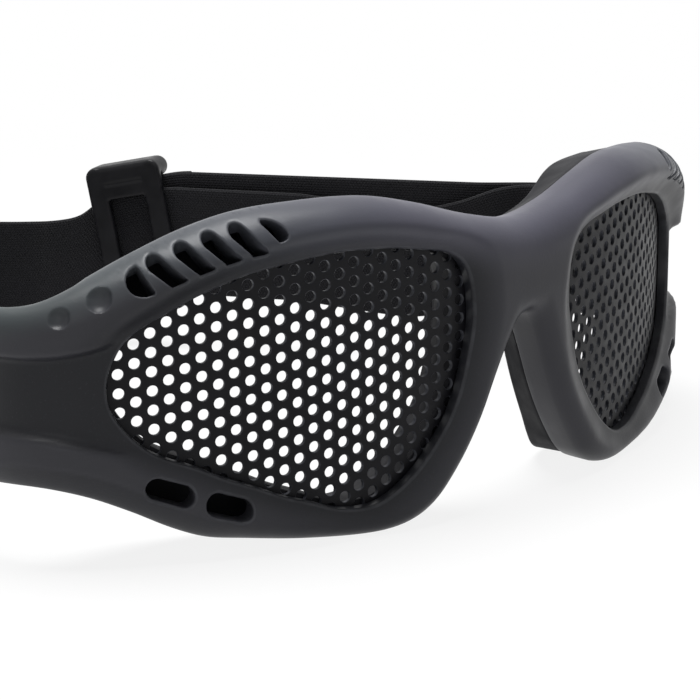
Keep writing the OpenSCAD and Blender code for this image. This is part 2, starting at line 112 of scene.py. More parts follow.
def aim(thing, direction):
    thing.rotation_euler = Vector(direction).to_track_quat("-Z", "Y").to_euler()


# %% [markdown]
# The camera comes first, because every later choice of detail is judged through it. It stands
# low on the wearer's right with a long lens, as for a catalogue picture, so the near lens fills
# the frame and the far one is seen at a slant. A long lens from over half a metre away keeps the
# two sides of the object at almost the same scale.
# %% Camera
camera = placed("camera", bpy.data.cameras.new("camera"))
camera.location = (-0.3482, -0.2924, 0.0984)
turn, tilt = math.radians(-47.59), math.radians(12.61)
aim(camera, (-math.sin(turn) * math.cos(tilt), math.cos(turn) * math.cos(tilt), -math.sin(tilt)))
camera.data.sensor_width = 36
camera.data.lens = 128.57
camera.data.clip_start = 0.01
bpy.context.scene.camera = camera
print("camera", [round(v, 4) for v in camera.location], "lens", camera.data.lens)

# %% [markdown]
# The front is a flat pattern bent round the face. A flat pattern has three numbers for each
# point: the distance s along the wrap, the height z, and the height h out from the lens surface.
# The outlines and the swelling of the brow are short tables along s. A table is read through a
# smooth curve and then blurred a little, because the eye sees the joins of a curve in the
# highlight that runs along a rubber brow.
# %% Smooth lines along the wrap
def hermite(points, x):
    """A smooth curve through [x, y] points, level at the first one."""
    px, py = np.array(points, float).T
    m = np.zeros(len(px))
    m[1:-1] = (py[2:] - py[:-2]) / (px[2:] - px[:-2])
    m[-1] = (py[-1] - py[-2]) / (px[-1] - px[-2])
    i = np.clip(np.searchsorted(px, x, side="right") - 1, 0, len(px) - 2)
    w = px[i + 1] - px[i]
    t = np.clip((x - px[i]) / w, 0, 1)
    return (py[i] * (2 * t**3 - 3 * t**2 + 1) + m[i] * w * (t**3 - 2 * t**2 + t)
            + py[i + 1] * (3 * t**2 - 2 * t**3) + m[i + 1] * w * (t**3 - t**2))


def blurred(values, sigma):
    """The values blurred over sigma samples, with both ends held."""
    span = int(4 * sigma)
    kernel = np.exp(-0.5 * (np.arange(-span, span + 1) / sigma) ** 2)
    return np.convolve(np.pad(values, span, mode="edge"), kernel / kernel.sum(), mode="valid")


STEP = 0.25
GRID = np.arange(-136, 136 + STEP, STEP)


def line(points, blur=2.0):
    """A function of the distance along the wrap, the same on both sides of the nose."""
    values = blurred(hermite(points, np.abs(GRID)), blur / STEP)
    return lambda a: np.interp(a, GRID, values)


upper = line([[0, 23.6], [12, 25.4], [24, 28.6], [36, 30.9], [48, 31], [60, 30], [70, 27.3],
              [80, 23.1], [88, 19.2], [96, 15.9], [104, 15], [110, 15], [130, 15]], 1.5)
lower = line([[0, 6.5], [3, 5], [5, 1.5], [7, -2.5], [10.5, -10], [14, -15.8], [18, -21],
              [22, -25], [27, -27.6], [34, -28.6], [48, -27.7], [60, -26.2], [67, -25.2],
              [73, -23], [80, -19.6], [88, -16.4], [96, -15], [110, -15.2], [130, -15.2]], 0.8)
brow_rise = line([[0, 2.4], [20, 2.8], [45, 3.6], [75, 3.2], [95, 1.9], [107, 1.8], [115, 0],
                  [130, 0]])
cheek_rise = line([[0, 1.4], [40, 1.4], [70, 2], [95, 1.8], [107, 1.8], [115, 0], [130, 0]])
brow_round = line([[0, 6], [85, 6.5], [100, 3.5], [115, 2], [130, 2]])
brow_drop = line([[0, 6.5], [20, 7.5], [45, 8.2], [80, 7.6], [100, 3.2], [115, 1.6], [130, 1.6]])
cheek_round = line([[0, 3.5], [55, 3.6], [70, 4.4], [95, 4.6], [115, 2], [130, 2]])
cheek_drop = line([[0, 3.8], [70, 4.4], [100, 3], [115, 1.6], [130, 1.6]])
seam_h = line([[0, -6], [85, -6], [93, -4.5], [104, -1.7], [130, -1.7]])
seal_h = line([[0, -11], [18, -12], [32, -14.5], [45, -14.5], [75, -13.5], [90, -10],
               [97, -6.5], [130, -6.5]])
recess_top = line([[76, 12], [82, 9], [95, 6.5], [130, 6.5]])
recess_bottom = line([[76, -9], [84, -7.2], [95, -5], [130, -5]])
print("front is %.1f mm high at the lenses" % float(upper(48) - lower(34)))

# %% [markdown]
# The lens opening has no simple name as a shape: it is a rounded triangle, pulled out at the
# temple and at the nose. Its reach from one middle point, every 15 degrees, says it in 24 numbers.
# %% The lens opening
LENS_S = 48.0
OPENING = np.array([35.5, 34.3, 28.8, 25, 22.8, 21.6, 21.7, 23, 25.5, 29.9, 36.1, 35.5,
                    32.9, 31.1, 29.2, 27.9, 26.5, 23.7, 20.9, 19.9, 19.8, 21.4, 24.6, 31.1])


def through(a, b, c, d, t):
    """Smooth curve through four values, between the middle two."""
    return 0.5 * (2 * b + (c - a) * t + (2 * a - 5 * b + 4 * c - d) * t**2
                  + (3 * b - a - 3 * c + d) * t**3)


def reach(angle):
    place = np.asarray(angle) % (2 * np.pi) / (2 * np.pi) * len(OPENING)
    i = np.floor(place).astype(int)
    a, b, c, d = (OPENING[(i + k) % len(OPENING)] for k in (-1, 0, 1, 2))
    return through(a, b, c, d, place - i)


def opening_ring(grow, count=200):
    """The opening's outline as [s, z], grown by a distance square to it."""
    w = circle_steps(count)
    ring = np.stack([LENS_S + reach(w) * np.cos(w), reach(w) * np.sin(w)], 1)
    way = unit(np.roll(ring, -1, 0) - np.roll(ring, 1, 0))
    return ring + grow * np.stack([way[:, 1], -way[:, 0]], 1)


def from_lens(a, z):
    """Distance out from the opening's outline, on the line to its middle."""
    return np.hypot(a - LENS_S, z) - reach(np.arctan2(z, a - LENS_S))


print("opening %.1f x %.1f mm" % tuple(np.ptp(opening_ring(0), axis=0)))

# %% [markdown]
# The face of the moulding is one height over the flat pattern. It is lowest at the lip of the
# lens, rises through a scoop to the brow and the cheek, and rolls over at the outline. Where two
# of those rules meet, a hard minimum would leave a crease that the mould doesn't have, so they
# are joined by a minimum with a small rounding.
# %% Height of the face
LIP_H, SCOOP_W, RIDGE_W, RECESS_S = 1.5, 5.5, 1.7, 78.0
END_S, CORNER, END_ROUND, END_DROP = 124.4, 3.5, 2.0, 1.6
STEEPEST = 2.2
temple_bevel = line([[0, 0], [50, 0], [72, 0.55], [112, 0.55], [118, 0], [130, 0]])


def ease(t):
    t = np.clip(t, 0, 1)
    return t * t * (3 - 2 * t)


def fillet(t):
    t = np.clip(t, 0, 1)
    return 1 - np.sqrt(1 - t * t)


def mix(a, b, t):
    return a + (b - a) * t


def soft_min(a, b, k):
    t = np.clip(0.5 + (b - a) / (2 * k), 0, 1)
    return mix(b, a, t) - k * t * (1 - t)


def soft_max(a, b, k):
    return -soft_min(-a, -b, k)


def steep(a):
    """Extra height that a wall takes where the lower outline is steep."""
    return np.minimum(STEEPEST, np.hypot(1, lower(a + 0.5) - lower(a - 0.5)))


def raised(a, z):
    """0 in the scoop round a lens and in a temple's recess, 1 on the brow, cheek and ridges."""
    from_recess = soft_max(np.maximum(z - recess_top(a), recess_bottom(a) - z), RECESS_S - a, 1.5)
    return ease(soft_min(from_lens(a, z) / SCOOP_W, from_recess / RIDGE_W, 0.2))


def face_h(a, z):
    rise = mix(cheek_rise(a), brow_rise(a), ease((z + 6) / 20))
    from_top, from_bottom, from_end = upper(a) - z, (z - lower(a)) / steep(a), END_S - a
    past = np.maximum(0, CORNER - from_end)
    high, low = CORNER - from_top, CORNER - from_bottom
    in_corner = (past > 0) & ((high > 0) | (low > 0))
    from_top = np.where(in_corner & (high > 0), CORNER - np.hypot(past, high), from_top)
    from_bottom = np.where(in_corner & (low > 0), CORNER - np.hypot(past, low), from_bottom)
    from_end = np.where(in_corner, END_ROUND, from_end)
    over_top = (brow_round(a) - from_top) / brow_round(a)
    over_bottom = (cheek_round(a) - from_bottom) / cheek_round(a)
    roll = mix(fillet(over_bottom), soft_max(over_bottom, over_bottom * 0, 0.06), temple_bevel(a))
    return (LIP_H + rise * raised(a, z) - brow_drop(a) * fillet(over_top) - cheek_drop(a) * roll
            - END_DROP * fillet((END_ROUND - from_end) / END_ROUND))


print("brow stands %.1f mm over the lens surface" % float(face_h(48.0, 25.0)))

# %% [markdown]
# A moulding with many holes is hard to keep clean with booleans, which leave slivers in the
# shading. Here the flat pattern is triangulated between its own outlines instead: rows of points
# follow each edge closely where it rolls over, and an even grid fills the rest. Each hole's edge
# is a quarter round, because moulded rubber has no sharp edge anywhere.
# The skin also carries three shares that the rubber's colour follows. How rounded an edge is
# lightens the edges, partly as wear and partly as a painted highlight. How far a place is raised
# paints shade: the scoops round the lenses, the temple recesses and the rolled lower edge at the
# temples are darker. How near a place is to the top paints the highlight along the brow. The
# shaded corner of the scoop above a lens, on the temple's side, is counted as less raised, so it
# gets still more painted shade.
# %% A skin over the flat pattern
# How far the painted shade on the rolled temple edge fades in, and how far and how strongly the
# painted shade above a lens reaches.
BEVEL_FADE, SHADE_REACH, SHADE_SHARE = 0.8, 9, 0.85
# How wide the band of painted highlight along the top of the brow is.
highlight_band = line([[0, 11], [60, 11], [84, 6.5], [130, 6.5]])


def inside(points, polygon):
    """Which points lie inside a closed polygon."""
    result = np.zeros(len(points), bool)
    x, y = points[:, 0], points[:, 1]
    for (x0, y0), (x1, y1) in zip(polygon, np.roll(polygon, -1, 0)):
        if y0 != y1:
            result ^= ((y0 > y) != (y1 > y)) & (x < (x1 - x0) * (y - y0) / (y1 - y0) + x0)
    return result


def apart(points, others, gap):
    """The points that lie at least gap from all the others."""
    tree = KDTree(len(others))
    for i, p in enumerate(others):
        tree.insert((p[0], p[1], 0), i)
    tree.balance()
    near = np.array([tree.find((p[0], p[1], 0))[2] for p in points])
    return points[near >= gap]


def colour_shares(corners):
    # Painted shade and highlight in the colour: the raised share is low, and the rubber painted
    # darker, in the scoops, the temple recesses, the rolled lower edge at the temples and most of
    # all in the shaded corner above each lens; the share near the top paints the brow's highlight.
    a, z = np.abs(corners[:, 0]), corners[:, 1]
    over_edge = cheek_round(a) - (z - lower(a)) / steep(a)
    bevelled = ease(over_edge / BEVEL_FADE) * temple_bevel(a)
    shaded = ease(1 - from_lens(a, z) / SHADE_REACH) * ease((a - 46) / 20) * ease((z + 4) / 6)
    return {"rim": corners[:, 3],
            "raised": raised(a, z) * (1 - bevelled) * (1 - SHADE_SHARE * shaded),
            "near_top": ease(1 - (upper(a) - z) / highlight_band(a))}


class Skin:
    """Corners [s, z, h, rim] in mm and faces; rim is 1 on a rounded edge and 0 elsewhere."""

    def __init__(self):
        self.corners, self.faces, self.count = [], [], 0

    def add(self, corners):
        self.corners.append(corners)
        self.count += len(corners)
        return self.count - len(corners)

    def strip(self, rows, closed):
        starts = [self.add(row) for row in rows]
        n = len(rows[0])
        for a, b in zip(starts, starts[1:]):
            for j in range(n if closed else n - 1):
                k = (j + 1) % n
                self.faces.append((a + j, a + k, b + k, b + j))

    def sheet(self, walls, free):
        """Triangles between walls, the outline first and then the holes, through free points."""
        flat = np.concatenate([w[0] for w in walls] + [f[0] for f in free])
        start = self.add(np.concatenate([w[1] for w in walls] + [f[1] for f in free]))
        edges, first = [], 0
        for w in walls:
            n = len(w[0])
            edges += [(first + i, first + (i + 1) % n) for i in range(n)]
            first += n
        places, _, triangles, came_from, _, _ = geometry.delaunay_2d_cdt(
            [Vector(p) for p in flat], edges, [], 0, 1e-6, True)
        places = np.array([tuple(p) for p in places])
        triangles = np.array([tuple(t) for t in triangles])
        middle = places[triangles].mean(1)
        keep = inside(middle, walls[0][0])
        for w in walls[1:]:
            keep &= ~inside(middle, w[0])
        lookup = np.array([c[0] if c else -1 for c in came_from])
        for t in triangles[keep]:
            corner = lookup[t]
            if corner.min() >= 0 and len(set(corner)) == 3:
                self.faces.append(tuple(start + corner))

    def object(self, name):
        """A welded mesh object of the flat pattern and its mirror image over the nose."""
        corners = np.concatenate(self.corners)
        mirrored = [tuple(i + len(corners) for i in reversed(f)) for f in self.faces]
        corners = np.concatenate([corners, corners * (-1, 1, 1, 1)])
        mesh = bpy.data.meshes.new(name)
        mesh.from_pydata([(s, -h, z) for s, z, h, _ in corners], [], self.faces + mirrored)
        for label, values in colour_shares(corners).items():
            made = mesh.attributes.new(label, "FLOAT", "POINT")
            made.data.foreach_set("value", values.astype(np.float32))
        work = bmesh.new()
        work.from_mesh(mesh)
        bmesh.ops.remove_doubles(work, verts=work.verts, dist=2e-4)
        bmesh.ops.dissolve_degenerate(work, edges=work.edges, dist=1e-5)
        for f in work.faces:
            f.smooth = True
        loose = sum(1 for e in work.edges if len(e.link_faces) != 2)
        write_out(work, mesh)
        print("%s: %d faces, %d open or doubled edges" % (name, len(mesh.polygons), loose))
        return placed(name, mesh)


# %% Outlines and their insets
def outline(top, bottom, end, corner, step):
    """Half an outline as [s, z]: over the brow from the nose, round the end and back below."""
    start = end - corner
    a = np.arange(0, start, 0.1)
    w = np.linspace(np.pi / 2, 0, 24)
    back = w[::-1]
    turn_top = np.stack([start + corner * np.cos(w), top(start) - corner + corner * np.sin(w)], 1)
    turn_low = np.stack([start + corner * np.cos(back),
                         bottom(start) + corner - corner * np.sin(back)], 1)
    return even_steps(np.concatenate([np.stack([a, top(a)], 1), turn_top, turn_low,
                                      np.stack([a, bottom(a)], 1)[::-1]]), step, 1e-6)


def inset(path, depth):
    """The outline moved in by a depth, which may differ from point to point."""
    way = unit(np.gradient(path, axis=0))
    square = np.stack([way[:, 1], -way[:, 0]], 1)
    square[0], square[-1] = (0, -1), (0, 1)
    moved = path + square * np.reshape(depth, (-1, 1))
    moved[[0, -1], 0] = 0
    return moved


def closed(path, step):
    """A half outline closed by a row of points up the middle of the nose."""
    low, high = path[-1, 1], path[0, 1]
    rows = np.linspace(low, high, int((high - low) / step) + 1)[1:-1]
    return np.concatenate([path, np.stack([rows * 0, rows], 1)])


def solid(flat, h, rim=0):
    return np.column_stack([flat, np.broadcast_to(h, len(flat)), np.full(len(flat), float(rim))])


def hex_grid(pitch, end):
    """Points of a triangular pattern over half of the flat pattern."""
    rows = []
    for i, z in enumerate(np.arange(-31, 32, pitch * math.sqrt(3) / 2)):
        row = np.arange(pitch * (0.25 + 0.5 * (i % 2)), end, pitch)
        rows.append(np.column_stack([row, np.full(len(row), z)]))
    return np.concatenate(rows)


LINE_STEP = 0.8
shell_line = outline(upper, lower, END_S, CORNER, LINE_STEP)
print("shell outline: %d points" % len(shell_line))

# %% [markdown]
# The six brow vents, the two lower slots and the strap's slot are all outlines of the same
# kind: circles wrapped in a taut band. Growing each circle grows the outline squarely, so the
# rings of a rounded edge come for nothing.
# %% Holes as bands round circles
def band(circles, grow=0.0, count=40):
    """The taut band round circles [s, z, r], with its straight stretches divided."""
    c = np.array(circles, float)
    w = circle_steps(count)
    n = np.stack([np.cos(w), np.sin(w)], 1)
    pick = np.argmax(n @ c[:, :2].T + c[:, 2], axis=1)
    ring = c[pick, :2] + n * (c[pick, 2:3] + grow)
    base = c[pick, :2] + n * c[pick, 2:3]
    points = []
    for i in range(count):
        j = (i + 1) % count
        parts = max(1, int(np.linalg.norm(base[j] - base[i]) / 0.5))
        points += [mix(ring[i], ring[j], k / parts) for k in range(parts)]
    return np.array(points)


VENTS, VENT_MID, VENT_PITCH, VENT_W, VENT_LEAN = 6, 66.8, 4.6, 2.75, 1.8
VENT_TOP, VENT_BOTTOM, VENT_CORNER = 2.0, 6.8, 0.4
MOON_LEAN, MOON_DROP, MOON_R = 1.1, 0.15, 0.45
HALF_MOON = {-1: (1.7, -0.3, 1.5, 4.6), 1: (2.2, 0.2, 1.5, 6.0)}


def vent_s(i):
    return VENT_MID + (i - (VENTS - 1) / 2) * VENT_PITCH


def vent_circles(i):
    """A vent is round at the top and square at the bottom; the first and last are half moons."""
    s = vent_s(i)
    bulge = {0: -1, VENTS - 1: 1}.get(i, 0)
    edge = VENT_W / 2 - VENT_CORNER
    if bulge:
        deep, shift, high, low = HALF_MOON[bulge]
        places = [(s - bulge * edge + shift + bulge * deep * math.sin(w) + MOON_LEAN * math.cos(w),
                   mix(high, low, 0.5 - 0.5 * math.cos(w)) + MOON_DROP, MOON_R)
                  for w in np.radians(range(0, 181, 20))]
    else:
        places = [(s + VENT_LEAN, VENT_TOP + MOON_DROP, VENT_W / 2)]
        places += [(s - VENT_LEAN + e, VENT_BOTTOM, VENT_CORNER) for e in (-edge, edge)]
    return [(a, float(upper(a)) - depth, r) for a, depth, r in places]


SLOT_PLACES, SLOT_L, SLOT_W = np.array([[73.7, -16], [63.5, -19.6]]), 8.6, 4.2
slot_way = (SLOT_PLACES[0] - SLOT_PLACES[1]) / np.linalg.norm(SLOT_PLACES[0] - SLOT_PLACES[1])
slots = [[(*(p + e * slot_way * (SLOT_L - SLOT_W) / 2), SLOT_W / 2) for e in (-1, 1)]
         for p in SLOT_PLACES]
strap_slot = [(s, z, 0.6) for s in (117.4, 119.8) for z in (-12.3, 12.3)]
print("vents reach %.1f to %.1f mm along the wrap" % (band(vent_circles(0))[:, 0].min(),
                                                      band(vent_circles(5))[:, 0].max()))

# %% [markdown]
# Two soft dents sit on the ridge near each temple. Each is the print of a ball pressed square
# to the rounded face, with its rim eased so that the light runs into it.
# %% Dents on the temple's ridge
DENTS = [(84.4, 3.3, 2.0, 2.2), (90.4, 3.5, 1.6, 1.8)]
DENT_STRETCH, DENT_RIM, DENT_REACH = 0.4, 0.1, 3.4
dent_places = np.array([(s, float(upper(s)) - depth) for s, depth, _, _ in DENTS])


def face_normal(a, z):
    e = 0.05
    return unit(np.stack([(face_h(a - e, z) - face_h(a + e, z)) / (2 * e),
                          (face_h(a, z - e) - face_h(a, z + e)) / (2 * e), np.ones(len(a))], 1))


def on_face(flat, drop=0.0, rim=0):
    """Points of the flat pattern lifted to the face, sunk square to it by a drop."""
    a, z = flat[:, 0], flat[:, 1]
    p = np.column_stack([a, z, face_h(a, z)])
    for at, (_, _, rim_r, ball_r) in zip(dent_places, DENTS):
        n = face_normal(at[:1], at[1:])[0]
        up = np.cross(n, (1, 0, 0))
        middle = np.append(at, face_h(*at)) + n * math.sqrt(ball_r**2 - rim_r**2)
        q = p - middle
        across, high, out = q[:, 0], q @ up, q @ n
        round_part = ball_r**2 - across**2 - np.maximum(np.abs(high) - DENT_STRETCH, 0) ** 2
        deep = out + np.sqrt(np.maximum(round_part, 0))
        push = soft_max(deep, deep * 0, DENT_RIM) * (round_part > 0)
        p -= push[:, None] * n
    if np.any(drop):
        p -= face_normal(a, z) * drop
    return np.column_stack([p, np.full(len(p), float(rim))])


def by_dents(flat):
    return np.min(np.linalg.norm(flat[:, None] - dent_places[None], axis=2), axis=1) < DENT_REACH


print("dents at", [(round(float(s), 1), round(float(z), 1)) for s, z in dent_places])

# %% [markdown]
# The front shell is the moulded rubber front. One closed skin holds its face, the rounded edges
# of all its holes, their walls, the outer wall down to the seam and the hollow behind, where the
# lens and the backing frame sit. Half of it is drawn and mirrored over the nose.
# %% Front shell, flat
EDGE_ROWS = [0.03, 0.12, 0.28, 0.5, 0.8, 1.2, 1.7, 2.3]
FLOOR_H, TEMPLE_HOLLOW = -0.7, 0.3
CUT_LEAN = 0.35 / 0.94
FACE_PITCH, DENT_PITCH, FACE_GAP = 0.7, 0.2, 0.3


def floor_h(a):
    return mix(FLOOR_H, seam_h(a) + TEMPLE_HOLLOW, ease((a - 88) / 8))


def wall_w(a):
    return mix(2.4, 1.2, ease((a - 100) / 8))


def within(flat, depth):
    """The points that lie inside the shell's outline by a depth."""
    return flat[inside(flat, closed(inset(shell_line, depth), LINE_STEP))]


def hole_in_shell(skin, ring_of, r, lean):
    """A hole's rings [flat, corners] over its rounded edge; its wall is laid down to its foot."""
    rings = []
    for w in np.radians([0, 22.5, 45, 67.5, 90]):
        flat = ring_of(r * (1 - math.cos(w)))
        rings.append((flat, on_face(flat, r * (1 - math.sin(w)), 0 if w == np.pi / 2 else 1)))
    for more in (0.3, 0.75):
        flat = ring_of(r + more)
        rings.append((flat, on_face(flat)))
    top = rings[0][1]
    foot_h = floor_h(top[:, 0])
    foot = np.column_stack([top[:, 0], top[:, 1] - lean * (top[:, 2] - foot_h), foot_h,
                            top[:, 3] * 0])
    limit = upper(foot[:, 0]) - 1.15 * wall_w(foot[:, 0]) - 0.3
    foot[:, 1] = soft_min(foot[:, 1], limit, 0.4)
    skin.strip([mix(top, foot, t) for t in (0, 0.08, 0.35, 0.7, 1)], closed=True)
    return rings, foot


shell = Skin()
holes = [(opening_ring, 0.6, 0.0)]
holes += [(lambda g, c=vent_circles(i): band(c, g), 0.35, CUT_LEAN) for i in range(VENTS)]
holes += [(lambda g, c=c: band(c, g), 0.5, 0.0) for c in slots + [strap_slot]]
hole_rings, feet = zip(*[hole_in_shell(shell, *hole) for hole in holes])

edge_line = closed(shell_line, LINE_STEP)
fixed = np.concatenate([r[0] for rings in hole_rings for r in rings])
free = []
for d in EDGE_ROWS:
    loop = inset(shell_line, d)
    for rings in hole_rings:
        loop = loop[~inside(loop, rings[-2][0])]
    if d > 0.4:
        loop = loop[~by_dents(loop)]
    free.append(apart(loop, fixed, min(FACE_GAP, 0.5 * d)))
near_dents = hex_grid(DENT_PITCH, END_S)
near_dents = within(near_dents[by_dents(near_dents)], 0.45)
field = apart(within(hex_grid(FACE_PITCH, END_S), 2.6), near_dents, FACE_GAP)
field = np.concatenate([near_dents, field])
for rings in hole_rings:
    field = field[~inside(field, rings[-1][0])]
field = apart(field, fixed, FACE_GAP)
free.append(field)
on_sheet = closed(inset(shell_line, 0.2), LINE_STEP)
ring_points = [(flat[keep], corners[keep]) for rings in hole_rings for flat, corners in rings[1:]
               for keep in [inside(flat, on_sheet)]]
shell.sheet([(edge_line, on_face(edge_line))] + [rings[0] for rings in hole_rings],
            ring_points + [(f, on_face(f)) for f in free])
print("face: %d points in the field" % len(field))

# %% Outer wall, rim and hollow of the shell
top_edge = on_face(shell_line)
seam = seam_h(shell_line[:, 0])
wall = wall_w(shell_line[:, 0])
rows = [top_edge]
for depth, share, up in ((0.17, 0.35, 0), (0.34, 0.7, 0), (0.5, 1, 0.4), (0.54, 1, 0.2),
                         (0.66, 1, 0.06), (0.85, 1, 0)):
    rows.append(solid(inset(shell_line, depth), mix(top_edge[:, 2], seam, share) + up,
                      1 if up else 0))
for depth, up in ((wall - 0.2, 0), (wall - 0.05, 0.05), (wall, 0.2)):
    rows.append(solid(inset(shell_line, depth), seam + up))
hollow_line = inset(shell_line, wall)
rows.append(solid(hollow_line, floor_h(hollow_line[:, 0])))
shell.strip(rows, closed=False)
floor_line = closed(hollow_line, 1.6)
floor_field = within(hex_grid(2.2, END_S), wall + 0.8)
for foot in feet:
    floor_field = floor_field[~inside(floor_field, foot[:, :2])]
floor_field = apart(floor_field, np.concatenate(feet)[:, :2], 0.8)
shell.sheet([(floor_line, solid(floor_line, floor_h(floor_line[:, 0])))]
            + [(foot[:, :2], foot) for foot in feet],
            [(floor_field, solid(floor_field, floor_h(floor_field[:, 0])))])
shell_flat = shell.object("front_shell_rubber")

# %% [markdown]
# Bending the flat pattern round the face is a rule, so it is a geometry tree: a big curve over
# the nose and the lenses, a tight turn at each temple and a straight end. The shell and the
# backing frame pass through the same tree, so they meet at the seam as they do in the flat.
# %% A tree that wraps the flat pattern
class Nodes:
    """The nodes of one tree, each made with its settings and inputs in a single call."""

    def __init__(self, tree):
        self.tree = tree

    def node(self, kind, inputs=(), **settings):
        """A node with its settings and its inputs, by name or number, as values or links."""
        made = self.tree.nodes.new(kind)
        for key, value in settings.items():
            setattr(made, key, value)
        for key, value in dict(inputs).items():
            self.plug(made.inputs[key], value)
        return made

    def plug(self, socket, value):
        if isinstance(value, bpy.types.NodeSocket):
            self.tree.links.new(value, socket)
        else:
            socket.default_value = value

    def math(self, operation, *values):
        return self.node("ShaderNodeMath", enumerate(values), operation=operation).outputs[0]


class Tree(Nodes):
    """A geometry tree with named inputs."""

    def __init__(self, name, inputs):
        super().__init__(bpy.data.node_groups.new(name, "GeometryNodeTree"))
        sockets = self.tree.interface
        sockets.new_socket("Geometry", in_out="INPUT", socket_type="NodeSocketGeometry")
        for label, value in inputs.items():
            kind = "Vector" if isinstance(value, tuple) else "Float"
            made = sockets.new_socket(label, in_out="INPUT", socket_type="NodeSocket" + kind)
            made.default_value = value
        sockets.new_socket("Geometry", in_out="OUTPUT", socket_type="NodeSocketGeometry")
        self.given = self.tree.nodes.new("NodeGroupInput").outputs
        self.out = self.tree.nodes.new("NodeGroupOutput").inputs[0]

    def join(self, *parts):
        made = self.node("GeometryNodeJoinGeometry")
        for part in parts:
            self.plug(made.inputs[0], part)
        return made.outputs[0]

    def in_metres(self, x, y, z):
        corner = self.node("ShaderNodeCombineXYZ", {0: x, 1: y, 2: z}).outputs[0]
        return self.node("ShaderNodeVectorMath", {0: corner, "Scale": MM},
                         operation="SCALE").outputs[0]

    def finish(self, geometry_out, material):
        real = self.node("GeometryNodeRealizeInstances", {0: geometry_out}).outputs[0]
        painted = self.node("GeometryNodeSetMaterial", {0: real, "Material": material})
        self.tree.links.new(painted.outputs[0], self.out)


def through_tree(thing, tree, **values):
    """Runs a mesh through a tree with its inputs set, and keeps the plain result."""
    modifier = thing.modifiers.new(tree.tree.name, "NODES")
    modifier.node_group = tree.tree
    for item in tree.tree.interface.items_tree:
        if item.in_out == "INPUT" and item.name.replace(" ", "_") in values:
            modifier[item.identifier] = values[item.name.replace(" ", "_")]
    settle(thing)
    return thing


WRAP_R, TURN_S, TURN_R, TEMPLE_ANGLE, LENS_Y = 137.7, 86.0, 18.0, math.radians(84), 16.0


def wrap_tree(name, material):
    t = Tree(name, {"Wrap radius": WRAP_R, "Turn start": TURN_S, "Turn radius": TURN_R,
                    "Temple angle": TEMPLE_ANGLE, "Lens forward": LENS_Y})
    flat, radius, start, turn_radius, last, forward = t.given[:6]
    place = t.node("GeometryNodeInputPosition").outputs[0]
    s, minus_h, z = t.node("ShaderNodeSeparateXYZ", {0: place}).outputs
    m = t.math
    a, side, h = m("ABSOLUTE", s), m("SIGN", s), m("MULTIPLY", minus_h, -1.0)
    first = m("DIVIDE", start, radius)
    big = m("DIVIDE", m("MINIMUM", a, start), radius)
    turn_l = m("MULTIPLY", turn_radius, m("SUBTRACT", last, first))
    past = m("SUBTRACT", a, start)
    tight = m("DIVIDE", m("MINIMUM", m("MAXIMUM", past, 0.0), turn_l), turn_radius)
    straight = m("MAXIMUM", m("SUBTRACT", past, turn_l), 0.0)
    total = m("ADD", first, tight)
    heading = m("ADD", big, tight)
    x = m("MULTIPLY", radius, m("SINE", big))
    x = m("ADD", x, m("MULTIPLY", turn_radius, m("SUBTRACT", m("SINE", total), m("SINE", first))))
    x = m("ADD", x, m("MULTIPLY", straight, m("COSINE", last)))
    x = m("ADD", x, m("MULTIPLY", h, m("SINE", heading)))
    y = m("MULTIPLY", radius, m("SUBTRACT", 1.0, m("COSINE", big)))
    y = m("ADD", y, m("MULTIPLY", turn_radius,
                      m("SUBTRACT", m("COSINE", first), m("COSINE", total))))
    y = m("ADD", y, m("MULTIPLY", straight, m("SINE", last)))
    y = m("SUBTRACT", m("SUBTRACT", y, forward), m("MULTIPLY", h, m("COSINE", heading)))
    moved = t.node("GeometryNodeSetPosition",
                   {0: flat, "Position": t.in_metres(m("MULTIPLY", x, side), y, z)})
    t.finish(moved.outputs[0], material)
    return t


# %% [markdown]
# The backing frame is a second, softer moulding behind the seam. It clamps the lenses from
# behind, widens towards the face as a cup round each eye, and ends in a rolled edge that seals
# on the skin. It is drawn in the same flat pattern, front to back.
# %% Backing frame, flat
SEAL_INSET, BACK_END, SEAM_GAP, FRONT_INSET = 0.9, 97.0, 0.1, 0.3
CUP_IN, CUP_FLARE, CUP_TOP, CUP_DEEP, CUP_ROUND = 0.8, 1.2, -6.0, -16.5, 0.8
CLAMP_FRONT, CLAMP_W, CLAMP_EDGE, NOSE_FLARE = -1.75, 2.6, 0.35, 2.6
lower_taper = line([[0, 1.4], [18, 1.2], [28, 0.2], [50, 0.2], [97, 1.2]])
upper_taper = line([[0, 1.4], [22, 2.0], [36, 1.8], [60, 1.4], [97, 1.2]])
back_line = outline(lambda a: upper(a) - SEAL_INSET, lambda a: lower(a) + SEAL_INSET * steep(a),
                    BACK_END, 3.0, 0.9)
a_back = back_line[:, 0]
high_side = ease((back_line[:, 1] + 8) / 16)
taper = mix(lower_taper(a_back), upper_taper(a_back), high_side)
bevel = mix(1.0, 1.6, high_side)


def front_h(a):
    return seam_h(a) - SEAM_GAP


def cup_ring(h, extra=0.0, count=200):
    """The eye cup's outline at a height; it flares towards the temple, the brow and the nose."""
    w = circle_steps(count)
    share = np.clip((CUP_TOP - h) / (CUP_TOP - CUP_DEEP), 0, 1)
    flare = CUP_FLARE * (1.2 + 1.8 * np.maximum(0, np.sin(w)) + 3 * np.maximum(0, np.cos(w))
                         + NOSE_FLARE * np.maximum(0, -np.cos(w)))
    r = reach(w) - CUP_IN + flare * share + extra
    return np.stack([LENS_S + r * np.cos(w), r * np.sin(w)], 1)


def cup_at_rear(extra):
    flat = cup_ring(-14.0, extra)
    for _ in range(3):
        flat = cup_ring(seal_h(flat[:, 0]), extra)
    return flat


